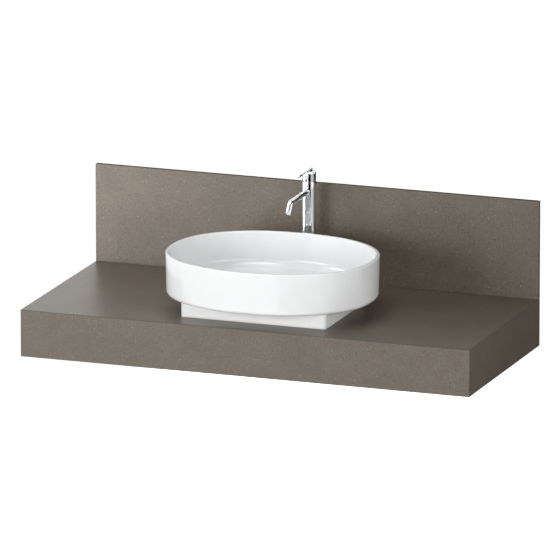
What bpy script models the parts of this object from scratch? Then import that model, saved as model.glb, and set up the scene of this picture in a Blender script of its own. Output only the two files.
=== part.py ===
"""A wall-hung vanity console with a sit-on basin, a push-open waste and a tall single-lever tap.

Metres, +Z up, +X to the right and +Y towards the wall. The origin lies at the middle of the
footprint, level with the lower edges of the aprons.
"""

import math

import bmesh
import bpy
from mathutils import Color, Matrix, Vector

for startup_object in list(bpy.data.objects):
    bpy.data.objects.remove(startup_object, do_unlink=True)

# Console: a thin stone top with mitred aprons and a back panel
CONSOLE_WIDTH = 1.200
CONSOLE_DEPTH = 0.550
APRON_HEIGHT = 0.122
STONE_THICKNESS = 0.012
SPLASHBACK_HEIGHT = 0.257
TAP_STRIP_DEPTH = 0.0991
ARRIS = 0.0005

# Small distances that many pieces share
SEAT_GAP = 0.0003
CUT_OVERRUN = 0.002

# Plywood under the stone
CARRIER_THICKNESS = 0.018
STIFFENER_THICKNESS = 0.018
STIFFENER_RISE = 0.0194

# Steel wall brackets
BRACKET_SPACING = 0.760
BRACKET_SET_BACK = 0.120
BRACKET_REACH = CONSOLE_DEPTH - BRACKET_SET_BACK
BRACKET_BAR_WIDTH = 0.050
BRACKET_BAR_THICKNESS = 0.006
BRACKET_LEG_RISE = 0.0134
BRACKET_WEB_THICKNESS = 0.005
BRACKET_WEB_TIP_DEPTH = 0.010
BRACKET_WEB_END = 0.025
BRACKET_END_RADIUS = 0.008
WALL_HOLE_DIAMETER = 0.010
WALL_HOLE_SPREAD = 0.028
WALL_HOLE_FROM_END = 0.018

# Wood screws
SCREW_DIAMETER = 0.005
SCREW_LENGTH = 0.018
SCREW_HEAD_DIAMETER = 0.0095
SCREW_HEAD_HEIGHT = 0.003
SCREW_RECESS_WIDTH = 0.0012
SCREW_RECESS_LENGTH = 0.0052
SCREW_RECESS_DEPTH = 0.0016
SCREW_CROWN_SHARE = 0.6
SCREW_EDGE_SHARE = 0.45
SCREW_FROM_WEB = 0.014
SCREW_PLACE_SHARES = (0.16, 0.52, 0.88)

# Basin: an oval bowl and its rectangular plinth in one casting
BASIN_WIDTH = 0.5444
BASIN_OVERHANG = 0.0085
BASIN_DEPTH = CONSOLE_DEPTH + BASIN_OVERHANG - TAP_STRIP_DEPTH - STONE_THICKNESS
BASIN_ROUNDNESS = 2.21
BASIN_HEIGHT = 0.149
RIM_THICKNESS = 0.010
RIM_RADIUS = 0.003
WALL_DRAFT = 0.002
WALL_THICKENING = 0.003
BOWL_UNDERSIDE_HEIGHT = 0.040
BOWL_EDGE_RADIUS = 0.012
FLOOR_THICKNESS = 0.020
FLOOR_EDGE_HEIGHT = BOWL_UNDERSIDE_HEIGHT + FLOOR_THICKNESS
FLOOR_FALL = 0.005
FLOOR_FILLET = 0.022
FLOOR_SHARES = (0.66, 0.33, 0.0)
PLINTH_WIDTH = 0.389
PLINTH_DEPTH = 0.294
PLINTH_TAPER = 0.0008
PLINTH_CORNER_RADIUS = 0.009
PLINTH_WALL = 0.012
PLINTH_LAP = 0.003
BASIN_SEAL_HEIGHT = 0.001
BASIN_SEAL_WIDTH = 0.009

# Push-open waste
WASTE_HOLE_DIAMETER = 0.045
WASTE_CLEARANCE = 0.00155
WASTE_BODY_DIAMETER = WASTE_HOLE_DIAMETER - 2 * WASTE_CLEARANCE
WASTE_WALL = 0.00395
WASTE_BORE = WASTE_BODY_DIAMETER - 2 * WASTE_WALL
WASTE_DROP = 0.067
RECESS_DIAMETER = 0.070
RECESS_CLEARANCE = 0.003
FLANGE_DIAMETER = RECESS_DIAMETER - 2 * RECESS_CLEARANCE
FLANGE_THICKNESS = 0.0025
FLANGE_SEAL_THICKNESS = 0.0015
FLANGE_NECK_WALL = 0.00145
FLANGE_NECK_DIAMETER = WASTE_BODY_DIAMETER - 2 * FLANGE_NECK_WALL
FLANGE_CONE_FLARE = 0.0025
FLANGE_CONE_DIAMETER = FLANGE_NECK_DIAMETER + 2 * FLANGE_CONE_FLARE
FLANGE_CONE_DEPTH = 0.0095
PLUG_TRAVEL = 0.008
PLUG_COVER_INSET = 0.001
PLUG_COVER_DIAMETER = FLANGE_DIAMETER - 2 * PLUG_COVER_INSET
PLUG_COVER_THICKNESS = 0.0055
PLUG_COVER_CROWN = 0.0012
PLUG_COVER_SOCKET_DEPTH = 0.0028
PLUG_SEAL_SLOPE = 0.0005
PLUG_SEAL_THICKNESS = 0.0035
SPINDLE_DIAMETER = 0.008
SPINDLE_TAIL = 0.0035
PLUG_STOP_DIAMETER = 0.014
PLUG_STOP_HEIGHT = 0.004
GUIDE_DROP = 0.025
GUIDE_HUB_HEIGHT = 0.018
GUIDE_HUB_DIAMETER = 0.015
GUIDE_RING_HEIGHT = 0.012
GUIDE_RING_THICKNESS = 0.0022
GUIDE_SPOKE_WIDTH = 0.003
GUIDE_SPOKE_HEIGHT = 0.008
GUIDE_SPOKES = 3
CLAMP_LAP = 0.0075
CLAMP_DIAMETER = WASTE_HOLE_DIAMETER + 2 * CLAMP_LAP
COUNTER_SEAL_THICKNESS = 0.004
WASTE_WASHER_THICKNESS = 0.002
WASTE_NUT_WALL = 0.00605
WASTE_NUT_FLATS = WASTE_BODY_DIAMETER + 2 * WASTE_NUT_WALL
WASTE_NUT_HEIGHT = 0.010
CARRIER_WASTE_ROOM = 0.012
CARRIER_WASTE_HOLE = CLAMP_DIAMETER + 2 * CARRIER_WASTE_ROOM

# Tap column and its fixing
TAP_DIAMETER = 0.035
TAP_WALL = 0.003
TAP_GASKET_THICKNESS = 0.001
TAP_GASKET_INSET = 0.0005
TAP_GASKET_DIAMETER = TAP_DIAMETER - 2 * TAP_GASKET_INSET
SEAM_HEIGHT = 0.273
SEAM_GAP = 0.001
SEAM_CHAMFER = 0.0004
TAP_HOLE_COVER = 0.004
TAP_HOLE_DIAMETER = TAP_DIAMETER - 2 * TAP_HOLE_COVER
TAP_FOOT_HEIGHT = 0.013
HOSE_HOLE_DIAMETER = 0.009
HOSE_HOLE_SPREAD = 0.012
HOSE_HOLE_FORWARD = 0.004
STUD_DIAMETER = 0.006
STUD_CLEARANCE = 0.002
STUD_BACK = (TAP_HOLE_DIAMETER - STUD_DIAMETER) / 2 - STUD_CLEARANCE
STUD_DROP = 0.062
STUD_NUT_FLATS = 0.011
STUD_NUT_HEIGHT = 0.012
HORSESHOE_LAP = 0.0105
HORSESHOE_DIAMETER = TAP_HOLE_DIAMETER + 2 * HORSESHOE_LAP
HORSESHOE_LIP = 0.002
HORSESHOE_SLOT_WIDTH = TAP_HOLE_DIAMETER - 2 * HORSESHOE_LIP
HORSESHOE_BRIDGE = 0.0012
HORSESHOE_SLOT_END = STUD_BACK - STUD_DIAMETER / 2 - SEAT_GAP - HORSESHOE_BRIDGE
RUBBER_HORSESHOE_THICKNESS = 0.003
STEEL_HORSESHOE_THICKNESS = 0.0025
CARRIER_TAP_ROOM = 0.006
CARRIER_TAP_HOLE = HORSESHOE_DIAMETER + 2 * CARRIER_TAP_ROOM

# Cartridge and its seat inside the column
CARTRIDGE_SEAT_DEPTH = 0.0185
CARTRIDGE_SEAT_WALL = 0.0035
CARTRIDGE_BORE = TAP_DIAMETER - 2 * CARTRIDGE_SEAT_WALL
SEAT_WEB_THICKNESS = 0.0185
SUPPLY_PORT_DIAMETER = 0.006
SUPPLY_PORT_EDGE = 0.002
SUPPLY_PORT_ANGLE = math.radians(34)
MIXED_PORT_DIAMETER = 0.0075
MIXED_PORT_FORWARD = 0.0055
CARTRIDGE_SEAL_THICKNESS = 0.0012
CARTRIDGE_SHOULDER_HEIGHT = 0.0072
CARTRIDGE_NECK_STEP = 0.0026
CARTRIDGE_NECK_DIAMETER = CARTRIDGE_BORE - 2 * CARTRIDGE_NECK_STEP
CARTRIDGE_NECK_TOP = 0.0015
CARTRIDGE_PORT_DEPTH = 0.0018
CARTRIDGE_NUT_HEIGHT = 0.0055
CARTRIDGE_WELL_WALL = 0.0029
TURRET_DIAMETER = CARTRIDGE_NECK_DIAMETER - 2 * (CARTRIDGE_WELL_WALL + SEAT_GAP)
TURRET_FOOT = 0.003
TURRET_WELL_DEPTH = 0.0115
TURRET_RISE = 0.0055
DOME_INSET = 0.0005
DOME_DIAMETER = CARTRIDGE_BORE - 2 * DOME_INSET
DOME_WALL = 0.0008
DOME_OPENING_CLEARANCE = 0.0015
DOME_CLEARANCE = 0.001

# Lever: stem, cap and bar
STEM_WIDTH = 0.0058
STEM_FOOT_CLEARANCE = 0.0022
STEM_TOP_CLEARANCE = 0.0023
PIVOT_PIN_DIAMETER = 0.0028
PIVOT_PIN_LENGTH = TURRET_DIAMETER - 2 * SEAT_GAP
CAP_HEIGHT = 0.0245
CAP_WALL = 0.0022
CAP_BORE = TAP_DIAMETER - 2 * CAP_WALL
CAP_EDGE_RADIUS = 0.0006
LEVER_LIFT_ANGLE = math.radians(20)
LEVER_RELIEF_SPARE = math.radians(1)
LEVER_RELIEF_ANGLE = LEVER_LIFT_ANGLE + LEVER_RELIEF_SPARE
LEVER_DIAMETER = 0.008
LEVER_FRONT = 0.0816
LEVER_REAR = 0.0165
LEVER_END_CHAMFER = 0.0007
LEVER_PEG_DIAMETER = 0.004
LEVER_PEG_LENGTH = 0.0032
GRUB_DIAMETER = 0.0034
GRUB_LENGTH = 0.008
GRUB_SOCKET_FLATS = 0.0018
GRUB_SOCKET_DEPTH = 0.002

# Spout and aerator
SPOUT_DIAMETER = 0.015
SPOUT_WALL = 0.002
SPOUT_BORE = SPOUT_DIAMETER - 2 * SPOUT_WALL
SPOUT_BELOW_SEAM = 0.025
SPOUT_HEIGHT = SEAM_HEIGHT - SPOUT_BELOW_SEAM
SPOUT_RUN = 0.139
SPOUT_BEND_ANGLE = math.radians(56)
SPOUT_BEND_RADIUS = 0.0125
NOZZLE_LENGTH = 0.0315
SPOUT_SOCKET_DEPTH = 0.0028
AERATOR_SEAT_WALL = 0.0009
AERATOR_SEAT_DIAMETER = SPOUT_DIAMETER - 2 * AERATOR_SEAT_WALL
AERATOR_SEAT_DEPTH = 0.008
AERATOR_WALL = 0.0011
AERATOR_SET_BACK = 0.0008
AERATOR_INSERT_THICKNESS = 0.004
AERATOR_JET_DIAMETER = 0.0018
AERATOR_JET_CIRCLE_SHARE = 0.63
AERATOR_JETS = 6

# How finely round forms are divided
OVAL_STEPS = 68
COLUMN_STEPS = 36
ROUND_STEPS = 24
SMALL_STEPS = 12
ARC_STEPS = 4
BEND_STEPS = 6
SMOOTH_ANGLE = math.radians(35)

# Places that follow from the sizes
FRONT_Y = (BASIN_OVERHANG - CONSOLE_DEPTH) / 2
REAR_Y = FRONT_Y + CONSOLE_DEPTH
BASIN_Y = FRONT_Y - BASIN_OVERHANG + BASIN_DEPTH / 2
SPLASHBACK_Y = REAR_Y - STONE_THICKNESS
TAP_Y = SPLASHBACK_Y - TAP_STRIP_DEPTH / 2
CARRIER_TOP = APRON_HEIGHT - STONE_THICKNESS - SEAT_GAP
CARRIER_UNDERSIDE = CARRIER_TOP - CARRIER_THICKNESS
RAIL_TOP = CARRIER_UNDERSIDE - SEAT_GAP
BRACKET_LEG_HEIGHT = RAIL_TOP - BRACKET_LEG_RISE
BACKING_X = CONSOLE_WIDTH / 2 - STONE_THICKNESS - SEAT_GAP
BACKING_Y = FRONT_Y + STONE_THICKNESS + SEAT_GAP
STONE_UNDERSIDE = -STONE_THICKNESS
RECESS_DEPTH = FLANGE_THICKNESS + FLANGE_SEAL_THICKNESS + 2 * SEAT_GAP


def colour(code):
    """Turn an sRGB hex code into the linear colour that a shader takes."""
    shade = Color([int(code[start : start + 2], 16) / 255 for start in (0, 2, 4)])
    return [*shade.from_srgb_to_scene_linear(), 1.0]


def finish(name, code, roughness, metallic=0.0):
    """A plain shader for one of the object's materials."""
    material = bpy.data.materials.new(name)
    material.use_nodes = True
    shader = material.node_tree.nodes["Principled BSDF"]
    shader.inputs["Base Color"].default_value = colour(code)
    shader.inputs["Roughness"].default_value = roughness
    shader.inputs["Metallic"].default_value = metallic
    return material


def place(name, location, parent=None):
    """An empty that marks a reference point or a joint's axis."""
    empty = bpy.data.objects.new(name, None)
    bpy.context.scene.collection.objects.link(empty)
    empty.parent = parent
    empty.location = location
    return empty


def solid(name, shape, material=None, parent=None, location=(0, 0, 0)):
    """Make an object of a bmesh, with its faces turned outwards and its round faces smooth."""
    bmesh.ops.recalc_face_normals(shape, faces=shape.faces)
    mesh = bpy.data.meshes.new(name)
    shape.to_mesh(mesh)
    shape.free()
    mesh.shade_smooth()
    mesh.set_sharp_from_angle(angle=SMOOTH_ANGLE)
    obj = bpy.data.objects.new(name, mesh)
    bpy.context.scene.collection.objects.link(obj)
    if material:
        mesh.materials.append(material)
    obj.parent = parent
    obj.location = location
    return obj


def skin(rings, looped=False):
    """Join rings of points with faces, and close the two ends. A ring of one point is a tip."""
    shape = bmesh.new()
    made = [[shape.verts.new(point) for point in ring] for ring in rings]
    pairs = list(zip(made, made[1:]))
    if looped:
        pairs.append((made[-1], made[0]))
    for low, high in pairs:
        count = max(len(low), len(high))
        for step in range(count):
            after = (step + 1) % count
            if len(low) == 1:
                shape.faces.new((low[0], high[after], high[step]))
            elif len(high) == 1:
                shape.faces.new((low[step], low[after], high[0]))
            else:
                shape.faces.new((low[step], low[after], high[after], high[step]))
    for ring in (made[0], made[-1]):
        if not looped and len(ring) > 1:
            shape.faces.new(ring)
    return shape


def circle(radius, height, steps):
    """Points round the Z axis, or the one point on it."""
    if radius == 0:
        return [Vector((0, 0, height))]
    turns = [math.tau * step / steps for step in range(steps)]
    return [Vector((radius * math.cos(turn), radius * math.sin(turn), height)) for turn in turns]


def turned(profile, steps=ROUND_STEPS, looped=False):
    """Turn a profile of (radius, height) points about the Z axis."""
    return skin([circle(radius, height, steps) for radius, height in profile], looped)


def rod(diameter, low, high, steps=SMALL_STEPS, chamfer=0):
    """A round bar along Z, with chamfered ends where asked."""
    radius = diameter / 2
    profile = [(radius, high), (radius, low)]
    if chamfer:
        profile = [(radius - chamfer, high), (radius, high - chamfer)]
        profile += [(radius, low + chamfer), (radius - chamfer, low)]
    return turned(profile, steps)


def washer(outer, inner, low, high, steps=ROUND_STEPS):
    """A flat ring round the Z axis."""
    profile = [(outer / 2, high), (outer / 2, low), (inner / 2, low), (inner / 2, high)]
    return turned(profile, steps, looped=True)


def prism(outline, low, high):
    """Extrude an outline of (x, y) points from one height to another."""
    shape = bmesh.new()
    face = shape.faces.new([shape.verts.new((x, y, low)) for x, y in outline])
    raised = bmesh.ops.extrude_face_region(shape, geom=[face])
    moved = [item for item in raised["geom"] if isinstance(item, bmesh.types.BMVert)]
    bmesh.ops.translate(shape, verts=moved, vec=(0, 0, high - low))
    return shape


def hexagon(flats):
    """The outline of a hexagon, by its width across flats."""
    corner = flats / 2 / math.cos(math.pi / 6)
    turns = [math.tau * step / 6 for step in range(6)]
    return [(corner * math.cos(turn), corner * math.sin(turn)) for turn in turns]


def block(low, high):
    """A box between two corners."""
    (x0, y0, z0), (x1, y1, z1) = low, high
    return prism([(x0, y0), (x1, y0), (x1, y1), (x0, y1)], z0, z1)


def arc(centre, radius, first, last, steps=ARC_STEPS):
    """Points of (x, y) on an arc, from one angle to another."""
    turns = [first + (last - first) * step / steps for step in range(steps + 1)]
    return [(centre[0] + radius * math.cos(t), centre[1] + radius * math.sin(t)) for t in turns]


def rounded_rectangle(width, depth, radius, height):
    """Points round a rectangle with rounded corners."""
    ring = []
    for corner, (x, y) in enumerate(((1, 1), (-1, 1), (-1, -1), (1, -1))):
        centre = (x * (width / 2 - radius), y * (depth / 2 - radius))
        start = corner * math.pi / 2
        ring += arc(centre, radius, start, start + math.pi / 2)
    return [Vector((x, y, height)) for x, y in ring]


def oval(half_width, half_depth, roundness, height):
    """Points round a superellipse: 2 is an ellipse, and more is squarer."""
    ring = []
    for step in range(OVAL_STEPS):
        turn = math.tau * step / OVAL_STEPS
        cosine, sine = math.cos(turn), math.sin(turn)
        x = half_width * math.copysign(abs(cosine) ** (2 / roundness), cosine)
        y = half_depth * math.copysign(abs(sine) ** (2 / roundness), sine)
        ring.append(Vector((x, y, height)))
    return ring


def boolean(target, operation, tool):
    """Cut a helper out of an object, or join it on. The helper itself isn't part of the model."""
    tool.hide_render = True
    tool.display_type = "WIRE"
    change = target.modifiers.new(tool.name, "BOOLEAN")
    change.operation = operation
    change.solver = "EXACT"
    change.object = tool


def cut(target, name, shape, location=(0, 0, 0), turn=None):
    """Cut a shape, placed in the target's own frame, out of the target."""
    tool = solid(name, shape, parent=target, location=location)
    if turn:
        tool.rotation_euler = turn
    boolean(target, "DIFFERENCE", tool)


def fuse(target, name, shape, location=(0, 0, 0), turn=None):
    """Join a shape, placed in the target's own frame, to the target."""
    tool = solid(name, shape, parent=target, location=location)
    if turn:
        tool.rotation_euler = turn
    boolean(target, "UNION", tool)


def ease_edges(obj, width):
    """Take the sharp edges off with a small chamfer."""
    bevel = obj.modifiers.new("Arris", "BEVEL")
    bevel.width = width
    bevel.segments = 1
    bevel.limit_method = "ANGLE"


def board(faces, axis):
    """A board between two rectangles of (low u, high u, low v, high v, w), so its edges can be mitred.

    u, v and w are x, y and z for a level board, x, z and y for one that faces the front, and
    y, z and x for one that faces a side.
    """
    order = {"Z": (0, 1, 2), "Y": (0, 2, 1), "X": (2, 0, 1)}[axis]
    rings = []
    for low_u, high_u, low_v, high_v, w in faces:
        corners = ((low_u, low_v, w), (high_u, low_v, w), (high_u, high_v, w), (low_u, high_v, w))
        rings.append([Vector([corner[part] for part in order]) for corner in corners])
    return skin(rings)


STONE = finish("engineered quartz", "7A7268", 0.35)
PLYWOOD = finish("birch plywood", "C9A877", 0.7)
STEEL = finish("powder-coated steel", "2B2C2E", 0.5)
ZINC = finish("zinc-plated steel", "B9BBB6", 0.35, 1.0)
CERAMIC = finish("glazed ceramic", "F3F4F4", 0.08)
CHROME = finish("chrome plate", "D8DADC", 0.06, 1.0)
BRASS = finish("machined brass", "C6A15B", 0.3, 1.0)
RUBBER = finish("black rubber", "1B1B1C", 0.8)
SILICONE = finish("white silicone", "E6E6E3", 0.5)
PLASTIC = finish("moulded plastic", "D6D6D2", 0.45)


# Stone top and aprons, mitred where they meet
console = place("console", (0, 0, 0))
half = CONSOLE_WIDTH / 2
inner_half = half - STONE_THICKNESS
top_faces = (
    (-inner_half, inner_half, FRONT_Y + STONE_THICKNESS, REAR_Y, APRON_HEIGHT - STONE_THICKNESS),
    (-half, half, FRONT_Y, REAR_Y, APRON_HEIGHT),
)
top_slab = solid("top_slab", board(top_faces, "Z"), STONE, console)
ease_edges(top_slab, ARRIS)
slab_cut = (-STONE_THICKNESS - CUT_OVERRUN, CUT_OVERRUN)
waste_cut = rod(WASTE_HOLE_DIAMETER, *slab_cut, steps=ROUND_STEPS)
cut(top_slab, "slab_waste_hole", waste_cut, (0, BASIN_Y, APRON_HEIGHT))
tap_cut = rod(TAP_HOLE_DIAMETER, *slab_cut, steps=ROUND_STEPS)
cut(top_slab, "slab_tap_hole", tap_cut, (0, TAP_Y, APRON_HEIGHT))

apron_top = APRON_HEIGHT - SEAT_GAP * math.sqrt(2)
front_faces = (
    (-half, half, 0, apron_top, FRONT_Y),
    (-inner_half, inner_half, 0, apron_top - STONE_THICKNESS, FRONT_Y + STONE_THICKNESS),
)
front_apron = solid("front_apron", board(front_faces, "Y"), STONE, console)
ease_edges(front_apron, ARRIS)

end_front = FRONT_Y + SEAT_GAP * math.sqrt(2)
for side, name in ((-1, "left_apron"), (1, "right_apron")):
    end_faces = (
        (end_front, REAR_Y, 0, apron_top, side * half),
        (end_front + STONE_THICKNESS, REAR_Y, 0, apron_top - STONE_THICKNESS, side * inner_half),
    )
    end_apron = solid(name, board(end_faces, "X"), STONE, console)
    ease_edges(end_apron, ARRIS)

splashback_low = APRON_HEIGHT + SEAT_GAP
splashback_high = APRON_HEIGHT + SPLASHBACK_HEIGHT
splashback_shape = block((-half, SPLASHBACK_Y, splashback_low), (half, REAR_Y, splashback_high))
splashback = solid("splashback", splashback_shape, STONE, console)
ease_edges(splashback, ARRIS)


# Plywood carrier and stiffeners glued behind the stone
carrier_shape = block((-BACKING_X, BACKING_Y, CARRIER_UNDERSIDE), (BACKING_X, REAR_Y, CARRIER_TOP))
carrier = solid("carrier", carrier_shape, PLYWOOD, console)
carrier_cut = (-CARRIER_THICKNESS - CUT_OVERRUN, CUT_OVERRUN)
carrier_waste = rod(CARRIER_WASTE_HOLE, *carrier_cut, steps=ROUND_STEPS)
cut(carrier, "carrier_waste_hole", carrier_waste, (0, BASIN_Y, CARRIER_TOP))
carrier_tap = rod(CARRIER_TAP_HOLE, *carrier_cut, steps=ROUND_STEPS)
cut(carrier, "carrier_tap_hole", carrier_tap, (0, TAP_Y, CARRIER_TOP))

front_rail_rear = BACKING_Y + STIFFENER_THICKNESS
front_rail = block((-BACKING_X, BACKING_Y, STIFFENER_RISE), (BACKING_X, front_rail_rear, RAIL_TOP))
solid("front_stiffener", front_rail, PLYWOOD, console)
side_rail_front = front_rail_rear + SEAT_GAP
for side, name in ((-1, "left_stiffener"), (1, "right_stiffener")):
    edges = sorted((side * BACKING_X, side * (BACKING_X - STIFFENER_THICKNESS)))
    side_rail = block((edges[0], side_rail_front, STIFFENER_RISE), (edges[1], REAR_Y, RAIL_TOP))
    solid(name, side_rail, PLYWOOD, console)


def bracket_profile():
    """The bent flat bar, seen from the side: y runs out from the wall and z down from its top."""
    bar = BRACKET_BAR_THICKNESS
    outline = [(-BRACKET_REACH, 0), (-BRACKET_REACH, -bar), (-bar, -bar)]
    outline += [(-bar, -BRACKET_LEG_HEIGHT), (0, -BRACKET_LEG_HEIGHT)]
    return outline + arc((-bar, -bar), bar, 0, math.pi / 2)


def web_profile():
    """The plate that stiffens the bend, with a long sloping lower edge."""
    bar = BRACKET_BAR_THICKNESS
    buried = bar / 2
    tip = -BRACKET_REACH + BRACKET_WEB_END
    heel = -BRACKET_LEG_HEIGHT + BRACKET_END_RADIUS
    outline = [(tip, -buried), (tip, -bar - BRACKET_WEB_TIP_DEPTH)]
    return outline + [(-bar, heel), (-buried, heel), (-buried, -buried)]


def side_plate(outline, thickness):
    """Extrude a side view of (y, z) points to both sides of the middle plane."""
    shape = prism(outline, -thickness / 2, thickness / 2)
    for vert in shape.verts:
        vert.co = vert.co.zxy
    return shape


def wood_screw(name, parent, location):
    """A pan-head screw, driven up, with a cross recess in its head."""
    head, shank = SCREW_HEAD_DIAMETER / 2, SCREW_DIAMETER / 2
    tip = SCREW_LENGTH - shank
    profile = [(head * SCREW_CROWN_SHARE, -SCREW_HEAD_HEIGHT)]
    profile += [(head, -SCREW_HEAD_HEIGHT * SCREW_EDGE_SHARE), (head, 0), (shank, 0)]
    profile += [(shank, tip), (0, SCREW_LENGTH)]
    screw = solid(name, turned(profile, SMALL_STEPS), ZINC, parent, location)
    reach, width = SCREW_RECESS_LENGTH / 2, SCREW_RECESS_WIDTH / 2
    low = -SCREW_HEAD_HEIGHT - CUT_OVERRUN
    high = SCREW_RECESS_DEPTH - SCREW_HEAD_HEIGHT
    cross = [(reach, width), (width, width), (width, reach)]
    cross += [(-x, y) for x, y in reversed(cross)]
    cross += [(-x, -y) for x, y in cross]
    cut(screw, name + "_recess", prism(cross, low, high))
    return screw


# Two steel brackets carry the console, each held by three screws
pilot_depth = SCREW_LENGTH - BRACKET_BAR_THICKNESS + SEAT_GAP
for side, label in ((-1, "left"), (1, "right")):
    bracket_x = side * BRACKET_SPACING / 2
    bracket_shape = side_plate(bracket_profile(), BRACKET_BAR_WIDTH)
    bracket = solid(label + "_bracket", bracket_shape, STEEL, console, (bracket_x, REAR_Y, RAIL_TOP))
    fuse(bracket, label + "_bracket_web", side_plate(web_profile(), BRACKET_WEB_THICKNESS))
    for row, height in enumerate((-WALL_HOLE_FROM_END, WALL_HOLE_FROM_END - BRACKET_LEG_HEIGHT)):
        for across in (-1, 1):
            hole = rod(WALL_HOLE_DIAMETER, -CUT_OVERRUN, BRACKET_BAR_THICKNESS + CUT_OVERRUN)
            hole_name = f"{label}_wall_hole_{row}_{across}"
            spot = (across * WALL_HOLE_SPREAD / 2, 0, height)
            cut(bracket, hole_name, hole, spot, (math.pi / 2, 0, 0))
    for number, share in enumerate(SCREW_PLACE_SHARES, 1):
        sideways = side * SCREW_FROM_WEB * (1 if number % 2 else -1)
        spot = Vector((sideways, -BRACKET_REACH * share, 0))
        clear_hole = SCREW_DIAMETER + 2 * SEAT_GAP
        arm_hole = rod(clear_hole, -BRACKET_BAR_THICKNESS - CUT_OVERRUN, CUT_OVERRUN)
        cut(bracket, f"{label}_arm_hole_{number}", arm_hole, spot)
        pilot = rod(clear_hole, -CUT_OVERRUN, pilot_depth)
        in_world = spot + Vector((bracket_x, REAR_Y, CARRIER_UNDERSIDE))
        cut(carrier, f"{label}_pilot_{number}", pilot, in_world)
        under_arm = spot - Vector((0, 0, BRACKET_BAR_THICKNESS + SEAT_GAP))
        wood_screw(f"{label}_bracket_screw_{number}", bracket, under_arm)


# Basin: the bowl's section is a loop of ovals, from the waste hole round the rim and back
def bowl_rings():
    """The ovals that the bowl's skin passes through, as seen from the counter's level."""
    wide, deep = BASIN_WIDTH / 2, BASIN_DEPTH / 2
    hole = WASTE_HOLE_DIAMETER / 2
    foot = WALL_DRAFT + BOWL_EDGE_RADIUS

    def inset(distance, height):
        return oval(wide - distance, deep - distance, BASIN_ROUNDNESS, height)

    rings = [oval(hole, hole, 2, BOWL_UNDERSIDE_HEIGHT)]
    edge_centre = (foot, BOWL_UNDERSIDE_HEIGHT + BOWL_EDGE_RADIUS)
    quarter = arc(edge_centre, BOWL_EDGE_RADIUS, -math.pi / 2, -math.pi)
    rings += [inset(distance, height) for distance, height in quarter]
    rim_height = BASIN_HEIGHT - RIM_RADIUS
    outer_rim = arc((RIM_RADIUS, rim_height), RIM_RADIUS, math.pi, math.pi / 2)
    inner_rim = arc((RIM_THICKNESS - RIM_RADIUS, rim_height), RIM_RADIUS, math.pi / 2, 0)
    rings += [inset(distance, height) for distance, height in outer_rim + inner_rim]
    wall = RIM_THICKNESS + WALL_THICKENING
    fillet_centre = (wall + FLOOR_FILLET, FLOOR_EDGE_HEIGHT + FLOOR_FILLET)
    floor_arc = arc(fillet_centre, FLOOR_FILLET, math.pi, math.pi * 3 / 2)
    rings += [inset(distance, height) for distance, height in floor_arc]
    rings += floor_rings(wall + FLOOR_FILLET)
    return rings


def floor_rings(edge_inset):
    """The floor falls to the waste while its ovals turn into circles, and ends in the flange's seat."""
    wide, deep = BASIN_WIDTH / 2 - edge_inset, BASIN_DEPTH / 2 - edge_inset
    recess, hole = RECESS_DIAMETER / 2, WASTE_HOLE_DIAMETER / 2
    drain_height = FLOOR_EDGE_HEIGHT - FLOOR_FALL
    seat_height = drain_height - RECESS_DEPTH
    rings = []
    for share in FLOOR_SHARES:
        across = recess + (wide - recess) * share
        along = recess + (deep - recess) * share
        roundness = 2 + (BASIN_ROUNDNESS - 2) * share
        rings.append(oval(across, along, roundness, drain_height + FLOOR_FALL * share))
    rings.append(oval(recess, recess, 2, seat_height))
    rings.append(oval(hole, hole, 2, seat_height))
    return rings


basin_place = place("basin_place", (0, BASIN_Y, APRON_HEIGHT))
basin = solid("basin", skin(bowl_rings(), looped=True), CERAMIC, basin_place)
foot_height = BASIN_SEAL_HEIGHT + 2 * SEAT_GAP
plinth_top = BOWL_UNDERSIDE_HEIGHT + PLINTH_LAP
foot_width, foot_depth = PLINTH_WIDTH - PLINTH_TAPER, PLINTH_DEPTH - PLINTH_TAPER
inner_radius = max(PLINTH_CORNER_RADIUS - PLINTH_WALL, PLINTH_WALL / 4)
walls = 2 * PLINTH_WALL
plinth_rings = [
    rounded_rectangle(foot_width, foot_depth, PLINTH_CORNER_RADIUS, foot_height),
    rounded_rectangle(PLINTH_WIDTH, PLINTH_DEPTH, PLINTH_CORNER_RADIUS, plinth_top),
    rounded_rectangle(PLINTH_WIDTH - walls, PLINTH_DEPTH - walls, inner_radius, plinth_top),
    rounded_rectangle(foot_width - walls, foot_depth - walls, inner_radius, foot_height),
]
fuse(basin, "plinth", skin(plinth_rings, looped=True))

seal_outer = (foot_width, foot_depth)
seal_inner = (foot_width - 2 * BASIN_SEAL_WIDTH, foot_depth - 2 * BASIN_SEAL_WIDTH)
seal_rings = [
    rounded_rectangle(*seal_outer, PLINTH_CORNER_RADIUS, SEAT_GAP),
    rounded_rectangle(*seal_outer, PLINTH_CORNER_RADIUS, SEAT_GAP + BASIN_SEAL_HEIGHT),
    rounded_rectangle(*seal_inner, inner_radius, SEAT_GAP + BASIN_SEAL_HEIGHT),
    rounded_rectangle(*seal_inner, inner_radius, SEAT_GAP),
]
solid("basin_seal", skin(seal_rings, looped=True), SILICONE, basin_place)


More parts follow.
